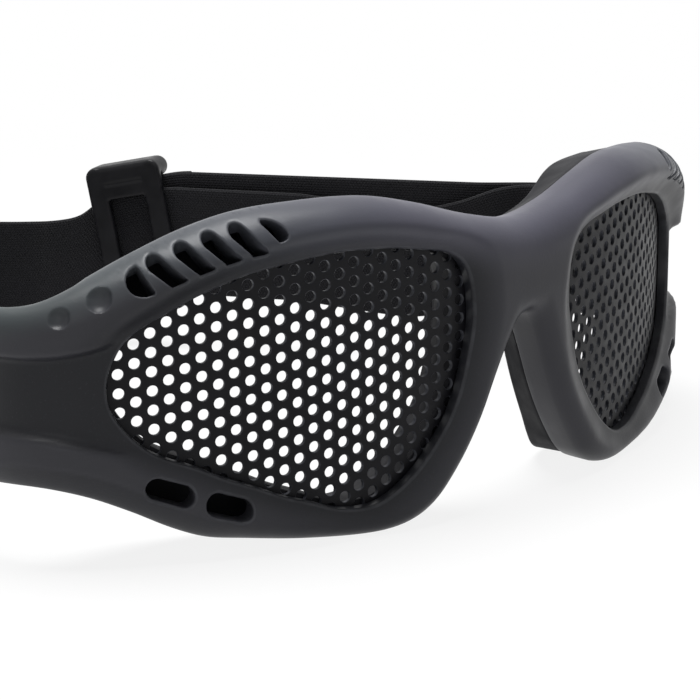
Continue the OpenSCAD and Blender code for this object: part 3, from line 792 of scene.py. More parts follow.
backing = Skin()
front, rear = front_h(a_back), seal_h(a_back)
front_line = inset(back_line, FRONT_INSET)
rows = [solid(front_line, front_h(front_line[:, 0])), solid(inset(back_line, 0.08), front - 0.08),
        solid(back_line, front - 0.3, 1)]
for share in (0.2, 0.4, 0.6, 0.8, 1):
    rows.append(solid(inset(back_line, taper * share), mix(front - 0.3, rear + bevel, share)))
for w in np.radians([18, 36, 54, 72, 90]):
    seal_line = inset(back_line, taper + bevel * (1 - math.cos(w)))
    level = rear + bevel * (1 - math.sin(w)) if w < 1.57 else seal_h(seal_line[:, 0])
    rows.append(solid(seal_line, level))
backing.strip(rows, closed=False)

cup_rows = []
for w in np.radians([90, 67.5, 45, 22.5, 0]):
    flat = cup_at_rear(CUP_ROUND * (1 - math.cos(w)))
    cup_rows.append(solid(flat, seal_h(flat[:, 0]) + CUP_ROUND * (1 - math.sin(w))))
start_h = cup_rows[-1][:, 2]
for share in (0.25, 0.5, 0.75, 1):
    h = mix(start_h, CUP_TOP, share)
    cup_rows.append(solid(cup_ring(h), h))
for grow, drop in ((0, CLAMP_EDGE), (0.1, 0.1), (CLAMP_EDGE, 0),
                   (CLAMP_W + CUP_IN - CLAMP_EDGE, 0), (CLAMP_W + CUP_IN - 0.1, 0.1),
                   (CLAMP_W + CUP_IN, CLAMP_EDGE)):
    cup_rows.append(solid(cup_ring(CUP_TOP, grow), CLAMP_FRONT - drop, 1))
clamp_foot = cup_ring(CUP_TOP, CLAMP_W + CUP_IN)
cup_rows.append(solid(clamp_foot, front_h(clamp_foot[:, 0])))
backing.strip(cup_rows, closed=True)

for path, rim_ring, lift in ((seal_line, cup_rows[0], seal_h), (front_line, cup_rows[-1], front_h)):
    border, ring = closed(path, 1.2), rim_ring[:, :2]
    field = hex_grid(1.1, BACK_END)
    field = field[inside(field, border)]
    field = apart(field[~inside(field, ring)], np.concatenate([border, ring]), 0.6)
    backing.sheet([(border, solid(border, lift(border[:, 0]))), (ring, rim_ring)],
                  [(field, solid(field, lift(field[:, 0])))])
backing_flat = backing.object("backing_frame_rubber")

# %% [markdown]
# Twelve air channels lead from behind the brow vents into the eye cups. They are cut while the
# backing frame is still flat, where each is a plain straight box.
# %% Air channels in the backing frame
CHANNEL_W, CHANNEL_H = 2.4, -6.0
BOX_FACES = ((0, 1, 2, 3), (4, 5, 6, 7), (0, 1, 5, 4), (1, 2, 6, 5), (2, 3, 7, 6), (3, 0, 4, 7))
cutters = bmesh.new()
for side in (-1, 1):
    for i in range(VENTS):
        start = np.array([vent_s(i) - LENS_S, float(upper(vent_s(i))) - 5.0])
        way = start / np.linalg.norm(start)
        stop = (float(reach(math.atan2(way[1], way[0]))) - 1.5) * way
        across = np.array([-way[1], way[0]]) * CHANNEL_W / 2
        corners = [cutters.verts.new((side * (LENS_S + x), -(CHANNEL_H + up), z))
                   for up in (-CHANNEL_W / 2, CHANNEL_W / 2)
                   for x, z in (start + across, start - across, stop - across, stop + across)]
        for quad in BOX_FACES:
            cutters.faces.new([corners[k] for k in quad])
cutter = placed("air_channels", bpy.data.meshes.new("air_channels"))
write_out(cutters, cutter.data)
cut = backing_flat.modifiers.new("channels", "BOOLEAN")
cut.object, cut.operation, cut.solver = cutter, "DIFFERENCE", "EXACT"
settle(backing_flat)
bpy.data.objects.remove(cutter)
print("backing frame with channels: %d faces" % len(backing_flat.data.polygons))

# %% [markdown]
# Each finish is a small node tree on Object coordinates, in metres, so the grain keeps its real
# size and sits on the piece. A helper keeps the trees short: a noise, a bump and a colour mix are
# what nearly every dull material here is made of.
# %% Helpers for materials
class Finish(Nodes):
    """A material's nodes: noise, ramps and bump that feed one Principled shader."""

    def __init__(self, name, roughness, **constants):
        self.material = bpy.data.materials.new(name)
        self.material.use_nodes = True
        super().__init__(self.material.node_tree)
        self.shader = self.tree.nodes["Principled BSDF"]
        self.shader.inputs["Roughness"].default_value = roughness
        for label, value in constants.items():
            self.shader.inputs[label.replace("_", " ")].default_value = value
        self.place = self.node("ShaderNodeTexCoord").outputs["Object"]

    def noise(self, scale, detail=3.0):
        return self.node("ShaderNodeTexNoise", {"Vector": self.place, "Scale": scale,
                                                "Detail": detail, "Roughness": 0.55}).outputs[0]

    def spread(self, value, low, high, start=0.0, end=1.0):
        return self.node("ShaderNodeMapRange",
                         {0: value, 1: low, 2: high, 3: start, 4: end}).outputs[0]

    def patches(self, scale, detail, low, high, start=0.0, end=1.0):
        """Noise spread between two levels."""
        return self.spread(self.noise(scale, detail), low, high, start, end)

    def blend(self, share, one, two):
        one, two = (value if isinstance(value, bpy.types.NodeSocket) else (*value, 1)
                    for value in (one, two))
        return self.node("ShaderNodeMix", {0: share, 6: one, 7: two}, data_type="RGBA").outputs[2]

    def bump(self, height, distance, strength, normal=None):
        inputs = {"Height": height, "Distance": distance, "Strength": strength}
        if normal:
            inputs["Normal"] = normal
        return self.node("ShaderNodeBump", inputs).outputs[0]

    def attribute(self, name):
        return self.node("ShaderNodeAttribute", attribute_name=name).outputs["Fac"]

    def use(self, tone, rough, normal):
        for label, value in (("Base Color", tone), ("Roughness", rough), ("Normal", normal)):
            self.tree.links.new(value, self.shader.inputs[label])
        return self.material


# %% [markdown]
# The shell is a charcoal rubber with a satin skin. Its colour drifts a little. A painted highlight
# runs along the top of the brow, cooler over the middle and greener towards the temples; painted
# shade darkens the scoops round the lenses and the temple recesses; and its rounded edges are a
# shade lighter, partly rubbed and partly a painted highlight. A fine grain breaks the highlight,
# as the etched face of a mould does.
# The backing frame is a softer rubber, darker and duller than the shell, with a faint bloom.
# %% Shell and backing rubber
def shell_rubber():
    f = Finish("shell_rubber", 0.42, Specular_IOR_Level=0.22)
    x = f.node("ShaderNodeSeparateXYZ", {0: f.place}).outputs[0]
    to_temple = f.spread(f.math("ABSOLUTE", x), 0.03, 0.088)
    drift = f.patches(28, 2, 0.35, 0.65)
    # Painted highlight along the top of the brow, cooler over the middle and greener towards the
    # temples.
    brow = f.blend(to_temple, (0.068, 0.067, 0.090), (0.054, 0.065, 0.067))
    # Painted shade: the rubber is much darker where the raised share is low, in the scoops and
    # recesses.
    plain = f.blend(f.attribute("raised"), (0.0080, 0.0085, 0.0110), (0.0370, 0.0370, 0.0430))
    tone = f.blend(f.attribute("near_top"), plain, brow)
    tone = f.blend(f.math("MULTIPLY", drift, 0.25), tone, (0.0135, 0.0135, 0.0165))
    # The rounded edges are lighter in patches: partly rubbing, partly a painted highlight along the
    # edges.
    worn_and_lit = f.math("MULTIPLY", f.attribute("rim"), f.patches(260, 3, 0.35, 0.7, 0.1, 0.5))
    tone = f.blend(worn_and_lit, tone, (0.066, 0.068, 0.076))
    tone = f.blend(f.patches(2600, 2, 0.62, 0.72, 0, 0.18), tone, (0.05, 0.05, 0.06))
    grain = f.bump(f.noise(2200, 3), 0.00004, 0.5)
    return f.use(tone, f.patches(150, 4, 0.3, 0.7, 0.34, 0.46),
                 f.bump(f.noise(90, 2), 0.00012, 0.35, grain))


def backing_rubber():
    f = Finish("backing_rubber", 0.6, Specular_IOR_Level=0.12)
    tone = f.blend(f.patches(60, 4, 0.4, 0.7, 0, 0.5), (0.009, 0.009, 0.011), (0.017, 0.017, 0.020))
    return f.use(tone, f.patches(220, 3, 0.3, 0.7, 0.52, 0.68),
                 f.bump(f.noise(1800, 3), 0.00005, 0.5))


front_shell = through_tree(shell_flat, wrap_tree("wrap shell", shell_rubber()))
backing_frame = through_tree(backing_flat, wrap_tree("wrap backing", backing_rubber()))
shade(front_shell, 50)
shade(backing_frame, 40)
print("shell and backing frame wrapped:", len(front_shell.data.polygons),
      len(backing_frame.data.polygons), "faces")

# %% [markdown]
# Each lens is a sheet of black-painted steel, punched in a triangular pattern and then rolled.
# A geometry tree makes it the way the factory does: lay out the pattern, keep the holes that
# fall inside the blank, fill the blank round them, give it its thickness, and roll it.
# The right and the left blank were cut from the stock at different angles, so the rows differ.
# %% Tree for a punched sheet
LENS_SINK, SHEET_T, STOCK_HOLES = 1.3, 0.8, 30


def punched_tree(name, material):
    t = Tree(name, {"Hole spacing": 3.3, "Hole diameter": 2.0, "Turn": 0.0,
                    "First hole": (0, 0, 0), "Border": 1.4, "Thickness": SHEET_T,
                    "Roll radius": WRAP_R - LENS_SINK, "Middle": 0.0,
                    "Axis": WRAP_R - LENS_Y, "Side": 1.0})
    blank, pitch, hole, angle, first, border, thick, radius, middle, axis, side = t.given[:11]
    m = t.math
    column = m("MULTIPLY", pitch, math.sin(math.radians(60)))
    stock = t.node("GeometryNodeMeshGrid", {"Size X": m("MULTIPLY", column, float(STOCK_HOLES)),
                                            "Size Y": m("MULTIPLY", pitch, float(STOCK_HOLES)),
                                            "Vertices X": STOCK_HOLES + 1,
                                            "Vertices Y": STOCK_HOLES + 1})
    place = t.node("GeometryNodeInputPosition").outputs[0]
    u, v, _ = t.node("ShaderNodeSeparateXYZ", {0: place}).outputs
    odd = m("ABSOLUTE", m("MODULO", m("ROUND", m("DIVIDE", u, column)), 2.0))
    v = m("ADD", v, m("MULTIPLY", odd, m("MULTIPLY", pitch, 0.5)))
    row = t.node("ShaderNodeCombineXYZ", {0: u, 1: v}).outputs[0]
    turned = t.node("ShaderNodeVectorRotate", {"Vector": row, "Angle": angle},
                    rotation_type="Z_AXIS").outputs[0]
    spot = t.node("ShaderNodeVectorMath", {0: turned, 1: first}).outputs[0]
    centres = t.node("GeometryNodeSetPosition", {0: stock.outputs[0], "Position": spot}).outputs[0]
    edge = t.node("GeometryNodeMeshToCurve", {0: blank}).outputs[0]
    plate = t.node("GeometryNodeFillCurve", {0: edge}).outputs[0]
    above = t.node("ShaderNodeVectorMath", {0: place, 1: (0, 0, 1)}).outputs[0]
    ray = t.node("GeometryNodeRaycast", {0: plate, "Source Position": above,
                                         "Ray Direction": (0, 0, -1), "Ray Length": 5.0})
    near = t.node("GeometryNodeProximity", {0: blank}, target_element="EDGES")
    clear = t.node("FunctionNodeCompare", {0: near.outputs["Distance"], 1: border},
                   data_type="FLOAT", operation="GREATER_THAN").outputs[0]
    good = t.node("FunctionNodeBooleanMath", {0: ray.outputs["Is Hit"], 1: clear},
                  operation="AND").outputs[0]
    bad = t.node("FunctionNodeBooleanMath", {0: good}, operation="NOT").outputs[0]
    kept = t.node("GeometryNodeDeleteGeometry", {0: centres, "Selection": bad},
                  domain="POINT").outputs[0]
    ring = t.node("GeometryNodeCurvePrimitiveCircle",
                  {"Resolution": 20, "Radius": m("MULTIPLY", hole, 0.5)}).outputs[0]
    rings = t.node("GeometryNodeInstanceOnPoints", {"Points": kept, "Instance": ring}).outputs[0]
    real = t.node("GeometryNodeRealizeInstances", {0: rings}).outputs[0]
    sheet = t.node("GeometryNodeFillCurve", {0: t.join(real, edge)}).outputs[0]
    lift = t.node("ShaderNodeCombineXYZ", {2: thick}).outputs[0]
    up = t.node("GeometryNodeExtrudeMesh", {"Mesh": sheet, "Offset": lift, "Individual": False},
                mode="FACES")
    marked = t.node("GeometryNodeStoreNamedAttribute",
                    {"Geometry": up.outputs["Mesh"], "Selection": up.outputs["Side"],
                     "Name": "punched", "Value": 1.0}, data_type="FLOAT", domain="FACE")
    under = t.node("GeometryNodeFlipFaces", {0: sheet}).outputs[0]
    welded = t.node("GeometryNodeMergeByDistance",
                    {0: t.join(under, marked.outputs[0]), "Distance": 0.001}).outputs[0]
    x, y, z = t.node("ShaderNodeSeparateXYZ", {0: place}).outputs
    heading = m("ADD", middle, m("DIVIDE", x, radius))
    out = m("ADD", radius, m("SUBTRACT", z, m("MULTIPLY", thick, 0.5)))
    rolled = t.node("GeometryNodeSetPosition", {0: welded, "Position": t.in_metres(
        m("MULTIPLY", side, m("MULTIPLY", out, m("SINE", heading))),
        m("SUBTRACT", axis, m("MULTIPLY", out, m("COSINE", heading))), y)}).outputs[0]
    mirrored = t.node("FunctionNodeCompare", {0: side, 1: 0.0}, data_type="FLOAT",
                      operation="LESS_THAN").outputs[0]
    proper = t.node("GeometryNodeFlipFaces", {0: rolled, "Selection": mirrored}).outputs[0]
    t.finish(proper, material)
    return t


# %% [markdown]
# The paint is a thin satin black. The walls of the holes are a dark steel grey, partly paint rubbed
# through and partly a painted highlight for the light the walls catch, which is what draws the
# pattern where something dark lies behind.
# %% Painted steel sheets
def lens_steel():
    f = Finish("lens_steel", 0.4, Specular_IOR_Level=0.14)
    patch = f.math("MULTIPLY", f.patches(120, 3, 0.4, 0.7), 0.5)
    tone = f.blend(patch, (0.0045, 0.0045, 0.0058), (0.009, 0.009, 0.0115))
    # The hole walls are lighter in patches: partly rubbed paint, partly a painted highlight.
    worn_and_lit = f.math("MULTIPLY", f.attribute("punched"), f.patches(700, 2, 0.3, 0.7, 0.3, 0.9))
    tone = f.blend(worn_and_lit, tone, (0.06, 0.063, 0.075))
    return f.use(tone, f.patches(400, 3, 0.3, 0.7, 0.34, 0.5),
                 f.bump(f.noise(3000, 2), 0.00002, 0.4))


steel_mat = lens_steel()
BORDER, BLANK_POINTS = 2.4, 180


def lens_sheet(name, side, angle, first):
    w = circle_steps(BLANK_POINTS)
    r = reach(w) + BORDER
    x, z = r * np.cos(w) * (WRAP_R - LENS_SINK) / WRAP_R, r * np.sin(w)
    mesh = bpy.data.meshes.new(name)
    mesh.from_pydata([(a, b, 0) for a, b in zip(x, z)],
                     [(i, (i + 1) % len(w)) for i in range(len(w))], [])
    sheet = through_tree(placed(name, mesh), punched_tree("punch " + name, steel_mat),
                         Turn=math.radians(angle), First_hole=(*first, 0),
                         Middle=LENS_S / WRAP_R, Side=side)
    rubbed = sheet.modifiers.new("punched edge", "BEVEL")
    rubbed.width, rubbed.segments = 0.0001, 1
    rubbed.limit_method, rubbed.angle_limit = "ANGLE", math.radians(40)
    settle(sheet)
    shade(sheet, 30)
    print("%s: %d faces" % (name, len(sheet.data.polygons)))
    return sheet


lens_right = lens_sheet("punched_sheet_right", -1.0, -1.5, (1.55, -0.25))
lens_left = lens_sheet("punched_sheet_left", 1.0, -17.0, (-1.8, -1.0))

# %% [markdown]
# The strap is woven elastic, 25 mm wide and 1.4 mm thick. It is modelled directly as a ribbon:
# one rounded section carried along a route, since a flat webbing doesn't swell or sag like cloth.
# The route is the CAD strap's, but the inner leaf dips lower before it reaches the left temple.
# The section stays upright and only turns with the route.
# %% The strap's route
RUN_P, RUN_ANGLE, RUN_L = np.array([41.0, 133.0]), math.radians(-61.2), 87.0
RIGHT_P, RIGHT_ANGLE = np.array([-86.0, 54.0]), math.radians(71.6)
STRAP_W, STRAP_T, LOOP_S, LOOP_R, TEMPLE_MID = 25.0, 1.4, 121.2, 2.6, -0.1
STAND_Z, TAIL_N, TAIL_TO, SEWN_N = -3.4, 1.75, 80.0, 1.5


def beside(start, angle, t, n, z):
    """A point t along a straight run of webbing and n out from it."""
    way = np.array([math.cos(angle), math.sin(angle)])
    return np.append(start + t * way + n * np.array([-way[1], way[0]]), z)


def run_at(t, n, z):
    return beside(RUN_P, RUN_ANGLE, t, n, z)


def right_at(t, n, z):
    return beside(RIGHT_P, RIGHT_ANGLE, t, n, z)


def bent(s, z, h):
    """One point of the flat pattern on the straight part of a temple, bent round."""
    first = TURN_S / WRAP_R
    on = abs(s) - TURN_S - TURN_R * (TEMPLE_ANGLE - first)
    x = (WRAP_R * math.sin(first) + TURN_R * (math.sin(TEMPLE_ANGLE) - math.sin(first))
         + on * math.cos(TEMPLE_ANGLE) + h * math.sin(TEMPLE_ANGLE))
    y = (WRAP_R * (1 - math.cos(first)) - LENS_Y
         + TURN_R * (math.cos(first) - math.cos(TEMPLE_ANGLE))
         + on * math.sin(TEMPLE_ANGLE) - h * math.cos(TEMPLE_ANGLE))
    return np.array([math.copysign(x, s), y, z])


def temple_at(side, back, out):
    return bent(side * (LOOP_S + back), 0, TEMPLE_MID + out)


def smooth(points, steps=12):
    p = np.array(points)
    last = len(p) - 1
    rows = [through(p[max(0, i - 1)], p[i], p[i + 1], p[min(last, i + 2)], k / steps)
            for i in range(last) for k in range(steps)]
    return np.array(rows + [p[-1]])


def bar_loop(side, way):
    turns = np.radians(np.linspace(-80, 80, 24)) * way
    return np.array([temple_at(side, -LOOP_R * math.cos(w), LOOP_R * math.sin(w)) for w in turns])


rear_route = [run_at(12, 0, STAND_Z), run_at(4, 0, -4), run_at(-3, 0, -5.8), run_at(-7.5, 0, -7.8),
              run_at(-12, 0, -11), run_at(-18, 0, -12.4), run_at(-26, 0, -13), (19, 165, -13),
              (5, 171, -13), (-11, 169, -12.5), (-26, 159, -11.5), (-40, 144, -10), (-53, 126, -8),
              (-65, 105, -5.5), right_at(32, 0, -3), right_at(24, 0, -1.8), right_at(12, 0, -0.5)]
right_inner = [right_at(12, 0, -0.5), right_at(3, 0, 0), temple_at(-1, 4, -LOOP_R),
               temple_at(-1, 0, -LOOP_R)]
right_outer = [temple_at(-1, 0, LOOP_R), temple_at(-1, 4, LOOP_R), right_at(2, SEWN_N + 1.6, 0),
               right_at(8, SEWN_N, -0.2), right_at(21, SEWN_N, -1.5)]
left_inner = [run_at(42, 0, STAND_Z - 0.4), run_at(56, 0, -5.4), run_at(68, 0, -6.2),
              run_at(78, 0, -4.2), run_at(RUN_L, 0, -0.9),
              temple_at(1, 8.5, -LOOP_R - 1), temple_at(1, 4, -LOOP_R), temple_at(1, 0, -LOOP_R)]
left_outer = [temple_at(1, 0, LOOP_R), temple_at(1, 4, LOOP_R), temple_at(1, 9.5, 0.1),
              run_at(TAIL_TO + 4, TAIL_N + 0.4, 0), run_at(TAIL_TO, TAIL_N, 0)]
band_route = np.concatenate([smooth(right_outer)[::-1], bar_loop(-1, -1),
                             smooth(right_inner)[::-1], smooth(rear_route)[::-1],
                             smooth(left_inner), bar_loop(1, 1), smooth(left_outer)])

# %% [markdown]
# The ribbon's section is flat on both faces and round at the selvedges. The piece gets its own
# UV map in millimetres, across and along the webbing, because the weave has to follow the route
# round the head and through the slider.
# %% Ribbon of webbing
def even_route(path, step, blur=0.0):
    """The route with even steps, blurred a little, so that no fold of the webbing is a kink."""
    route = even_steps(path, step, 1e-4)
    if blur:
        ends = route[[0, -1]].copy()
        route = np.stack([blurred(column, blur / step) for column in route.T], 1)
        route[[0, -1]] = ends
    return route, lengths(path)[-1]


def ribbon_section(width, thick):
    """Closed section as [across, out], anticlockwise, with round selvedges."""
    r = thick / 2
    half = width / 2 - r
    across = np.linspace(-half, half, 15)
    inner, outer = [(x, -r) for x in across], [(x, r) for x in across[::-1]]
    right, left = ([(side * (half + r * math.sin(w)), -side * r * math.cos(w))
                    for w in np.radians([30, 60, 90, 120, 150])] for side in (1, -1))
    return np.array(inner + right + outer + left)


def ribbon(name, route, material, leans=None, start=0.0):
    """A closed ribbon along a route in mm; leans tilt its sections back along the straight run."""
    section = ribbon_section(STRAP_W, STRAP_T)
    n, m = len(route), len(section)
    way = unit(np.gradient(route[:, :2], axis=0))
    out = np.stack([way[:, 1], -way[:, 0], way[:, 0] * 0], 1)
    lean = np.zeros(n) if leans is None else np.radians(leans)
    back = -np.array([math.cos(RUN_ANGLE), math.sin(RUN_ANGLE)])
    up = np.stack([back[0] * np.sin(lean), back[1] * np.sin(lean), np.cos(lean)], 1)
    corners = (route[:, None] + section[None, :, 1:2] * out[:, None]
               + section[None, :, 0:1] * up[:, None])
    along, girth = start + lengths(route), lengths(np.concatenate([section, section[:1]]))
    faces, uvs = [], []
    for i in range(n - 1):
        for j in range(m):
            k = (j + 1) % m
            faces.append((i * m + j, i * m + k, (i + 1) * m + k, (i + 1) * m + j))
            uvs += [(girth[j], along[i]), (girth[j + 1], along[i]),
                    (girth[j + 1], along[i + 1]), (girth[j], along[i + 1])]
    for end, order in ((0, range(m - 1, -1, -1)), (n - 1, range(m))):
        faces.append(tuple(end * m + j for j in order))
        uvs += [(section[j][0], along[end]) for j in order]
    mesh = bpy.data.meshes.new(name)
    mesh.from_pydata([tuple(c * MM) for c in corners.reshape(-1, 3)], [], faces)
    mesh.uv_layers.new(name="weave").data.foreach_set("uv", np.array(uvs, np.float32).ravel())
    work = bmesh.new()
    work.from_mesh(mesh)
    write_out(work, mesh)
    mesh.materials.append(material)
    piece = placed(name, mesh)
    shade(piece, 50)
    return piece


# %% [markdown]
# Woven elastic shows fine cords along its length and a tighter weft across them, with a thin
# bound edge on each side. Both come from waves on the UV map. The face is matt, with a little
# sheen where loose fibres catch the light along the edges.
# %% Webbing and thread
CORD_PITCH, WEFT_PITCH = 1.15, 0.72


def webbing():
    f = Finish("webbing", 0.85, Specular_IOR_Level=0.15, Sheen_Weight=0.12, Sheen_Roughness=0.5)
    uv = f.node("ShaderNodeUVMap", uv_map="weave").outputs[0]
    u, v, _ = f.node("ShaderNodeSeparateXYZ", {0: uv}).outputs
    cord = f.math("SINE", f.math("MULTIPLY", u, 2 * math.pi / CORD_PITCH))
    shift = f.math("MULTIPLY", f.math("SIGN", cord), math.pi / 2)
    weft = f.math("SINE", f.math("ADD", f.math("MULTIPLY", v, 2 * math.pi / WEFT_PITCH), shift))
    height = f.math("ADD", f.math("MULTIPLY", f.math("ABSOLUTE", cord), 0.6),
                    f.math("MULTIPLY", weft, 0.4))
    fuzz = f.noise(1500, 3)
    tone = f.blend(f.spread(height, -0.3, 0.9), (0.0016, 0.0016, 0.0022), (0.0065, 0.0065, 0.0085))
    tone = f.blend(f.patches(45, 3, 0.4, 0.7, 0, 0.4), tone, (0.008, 0.008, 0.010))
    tone = f.blend(f.spread(fuzz, 0.6, 0.75, 0, 0.35), tone, (0.016, 0.016, 0.019))
    weave = f.bump(height, 0.00022, 0.7)
    return f.use(tone, f.spread(fuzz, 0.3, 0.7, 0.78, 0.92), f.bump(fuzz, 0.00006, 0.5, weave))


def thread():
    f = Finish("thread", 0.7, Specular_IOR_Level=0.2)
    twist = f.node("ShaderNodeTexWave", {"Vector": f.place, "Scale": 900.0, "Distortion": 1.0},
                   bands_direction="Z").outputs[1]
    tone = f.blend(twist, (0.006, 0.006, 0.007), (0.026, 0.026, 0.030))
    return f.use(tone, f.patches(2000, 3, 0.3, 0.7, 0.6, 0.8), f.bump(twist, 0.0001, 0.6))


webbing_mat, thread_mat = webbing(), thread()
band_path, band_length = even_route(band_route, 0.9, 0.8)
strap_band = ribbon("strap_webbing", band_path, webbing_mat)
tail_path, tail_length = even_route(np.array([run_at(TAIL_TO, TAIL_N, 0),
                                              run_at(16.0, TAIL_N, 0)]), 0.8)
strap_tail = ribbon("strap_tail_webbing", tail_path, webbing_mat, start=band_length)
print("webbing: band %.0f mm, tail %.0f mm" % (band_length, tail_length))

# %% [markdown]
# The end of the tail goes round the slider's middle bar and is sewn back on itself. Between the
# bar and the straight tail the webbing twists a little, because the slider leans.
# %% The turned end of the tail
SLIDER_T, SLIDER_Z, SLIDER_LEAN, PIN_D = 2.5, -3.0, 11.0, 2.2
TURN_N = PIN_D / 2 + 0.15 + STRAP_T / 2
PIN_N = TAIL_N + STRAP_T / 2 + 0.15 + PIN_D / 2
straight = 16.0 - SLIDER_T
turn_path = [(t, mix(TAIL_N, PIN_N - TURN_N, float(ease(2 - t / 4))))
             for t in np.arange(straight, 1.9, -0.5)]
turn_path += [(-TURN_N * math.sin(w), PIN_N - TURN_N * math.cos(w))
              for w in np.radians(range(0, 181, 8))]
turn_path += [(t, mix(PIN_N + TURN_N, TAIL_N + SEWN_N, float(ease((t - 2) / 6))))
              for t in np.arange(2, 12.1, 0.5)]
share = [float(ease(t / straight)) for t, _ in turn_path]
rise = math.tan(math.radians(SLIDER_LEAN))
turn_route = np.array([run_at(SLIDER_T + t, n, mix(SLIDER_Z + t * rise, 0, k))
                       for (t, n), k in zip(turn_path, share)])
tail_loop = ribbon("strap_tail_turn", turn_route, webbing_mat,
                   leans=[SLIDER_LEAN * (1 - k) for k in share], start=band_length + tail_length)
turn_length = lengths(turn_route)[-1]
print("turned end %.0f mm, webbing in all %.0f mm" % (turn_length,
                                                    band_length + tail_length + turn_length))

# %% [markdown]
# A slider is one moulding: two end bars, two rails with a cheek along their inner side, and a
# middle bar. Its parts are put together as plain rounded bars, fused on a fine grid of voxels and
# then relaxed, which gives the soft fillets that a moulding has where its bars meet.
# %% Slider
SLIDER_W, SLIDER_H, RAIL_R, BAR_R = 18.0, 35.6, 2.4, 2.3
BAR_LOW, BAR_HIGH, CHEEK, CHEEK_R = -3.0, -1.0, 11.6, 1.8
RAIL_HIGH, RAIL_EDGE, BAR_EDGE = PIN_N + PIN_D / 2 + 0.5, 1.1, 0.5
VOXEL, PIN_SIDES = 0.00026, 24


def ring_faces(work, rings):
    """Faces between closed rings of corners, with a cap at each end."""
    for a, b in zip(rings, rings[1:]):
        for j in range(len(a)):
            k = (j + 1) % len(a)
            work.faces.new((a[j], a[k], b[k], b[j]))
    work.faces.new(rings[0])
    work.faces.new(rings[-1])


def rounded_bar(work, ends, r, low, high, edge):
    """A bar between two round ends [x, z] that stands from low to high, with rolled edges."""
    ends = np.array(ends, float)
    way = math.atan2(*(ends[1] - ends[0])[::-1])
    half = np.radians(np.linspace(-90, 90, 13))
    levels = [(low, edge), (low + 0.3 * edge, 0.3 * edge), (low + edge, 0), (high - edge, 0),
              (high - 0.3 * edge, 0.3 * edge), (high, edge)]
    ring_faces(work, [[work.verts.new((end[0] + (r - less) * math.cos(w + turn), y,
                                       end[1] + (r - less) * math.sin(w + turn)))
                       for end, turn in ((ends[1], way), (ends[0], way + math.pi)) for w in half]
                      for y, less in levels])


work = bmesh.new()
rail_x, rail_z = SLIDER_W / 2 - RAIL_R, SLIDER_H / 2 - RAIL_R
for side in (-1, 1):
    bar_x = side * (SLIDER_W / 2 - BAR_R)
    for z, r, high, edge in ((rail_z, RAIL_R, RAIL_HIGH, RAIL_EDGE),
                             (CHEEK, CHEEK_R, BAR_HIGH, BAR_EDGE)):
        rounded_bar(work, [(-rail_x, side * z), (rail_x, side * z)], r, BAR_LOW, high, edge)
    rounded_bar(work, [(bar_x, -rail_z), (bar_x, rail_z)], BAR_R, BAR_LOW, BAR_HIGH, BAR_EDGE)
ring_faces(work, [[work.verts.new((PIN_D / 2 * math.cos(w), PIN_N + PIN_D / 2 * math.sin(w), z))
                   for w in np.arange(PIN_SIDES) * math.pi / (PIN_SIDES / 2)]
                  for z in (-rail_z, rail_z)])
bmesh.ops.recalc_face_normals(work, faces=work.faces)
lean, heading = math.radians(-SLIDER_LEAN), RUN_ANGLE
middle = run_at(SLIDER_T, 0, SLIDER_Z)
for v in work.verts:
    x, y, z = v.co
    x, z = x * math.cos(lean) + z * math.sin(lean), -x * math.sin(lean) + z * math.cos(lean)
    v.co = Vector(((x * math.cos(heading) - y * math.sin(heading) + middle[0]) * MM,
                   (x * math.sin(heading) + y * math.cos(heading) + middle[1]) * MM,
                   (z + middle[2]) * MM))
slider = placed("slider_moulding", bpy.data.meshes.new("slider_moulding"))
work.to_mesh(slider.data)
work.free()
fuse = slider.modifiers.new("fuse", "REMESH")
fuse.mode, fuse.voxel_size, fuse.use_smooth_shade = "VOXEL", VOXEL, True
relax = slider.modifiers.new("relax", "SMOOTH")
relax.factor, relax.iterations = 0.5, 6
settle(slider)


def slider_plastic():
    f = Finish("slider_plastic", 0.38, Specular_IOR_Level=0.16)
    tone = f.blend(f.patches(150, 3, 0.35, 0.65), (0.0035, 0.0035, 0.0045), (0.0065, 0.0065, 0.008))
    return f.use(tone, f.patches(300, 4, 0.3, 0.7, 0.3, 0.46),
                 f.bump(f.noise(2600, 2), 0.00003, 0.4))


slider.data.materials.clear()
slider.data.materials.append(slider_plastic())
slider.data.shade_smooth()
print("slider: %d faces" % len(slider.data.polygons))

# %% [markdown]
# Stitches repeat along a line, so a tree lays them: each row is an edge, the tree divides it and
# sets one short thread on every division, sunk a little into the webbing as a pulled stitch is.
# %% Stitches
def stitch_tree(name, material):
    t = Tree(name, {"Stitch length": 2.0, "Gap": 0.45, "Thread": 0.5})
    rows, length, gap, width = t.given[:4]
    m = t.math
    curve = t.node("GeometryNodeMeshToCurve", {0: rows}).outputs[0]
    divided = t.node("GeometryNodeResampleCurve",
                     {0: curve, "Length": m("MULTIPLY", m("ADD", length, gap), MM)}, mode="LENGTH")
    grain = t.node("GeometryNodeMeshUVSphere", {"Segments": 10, "Rings": 8, "Radius": 0.5 * MM})
    way = t.node("GeometryNodeInputTangent").outputs[0]
    turned = t.node("FunctionNodeAlignRotationToVector", {"Vector": way}, axis="Z").outputs[0]
    size = t.node("ShaderNodeCombineXYZ", {0: width, 1: width, 2: length}).outputs[0]
    laid = t.node("GeometryNodeInstanceOnPoints",
                  {"Points": divided.outputs[0], "Instance": grain.outputs[0], "Rotation": turned,
                   "Scale": size})
    t.finish(laid.outputs[0], material)
    return t


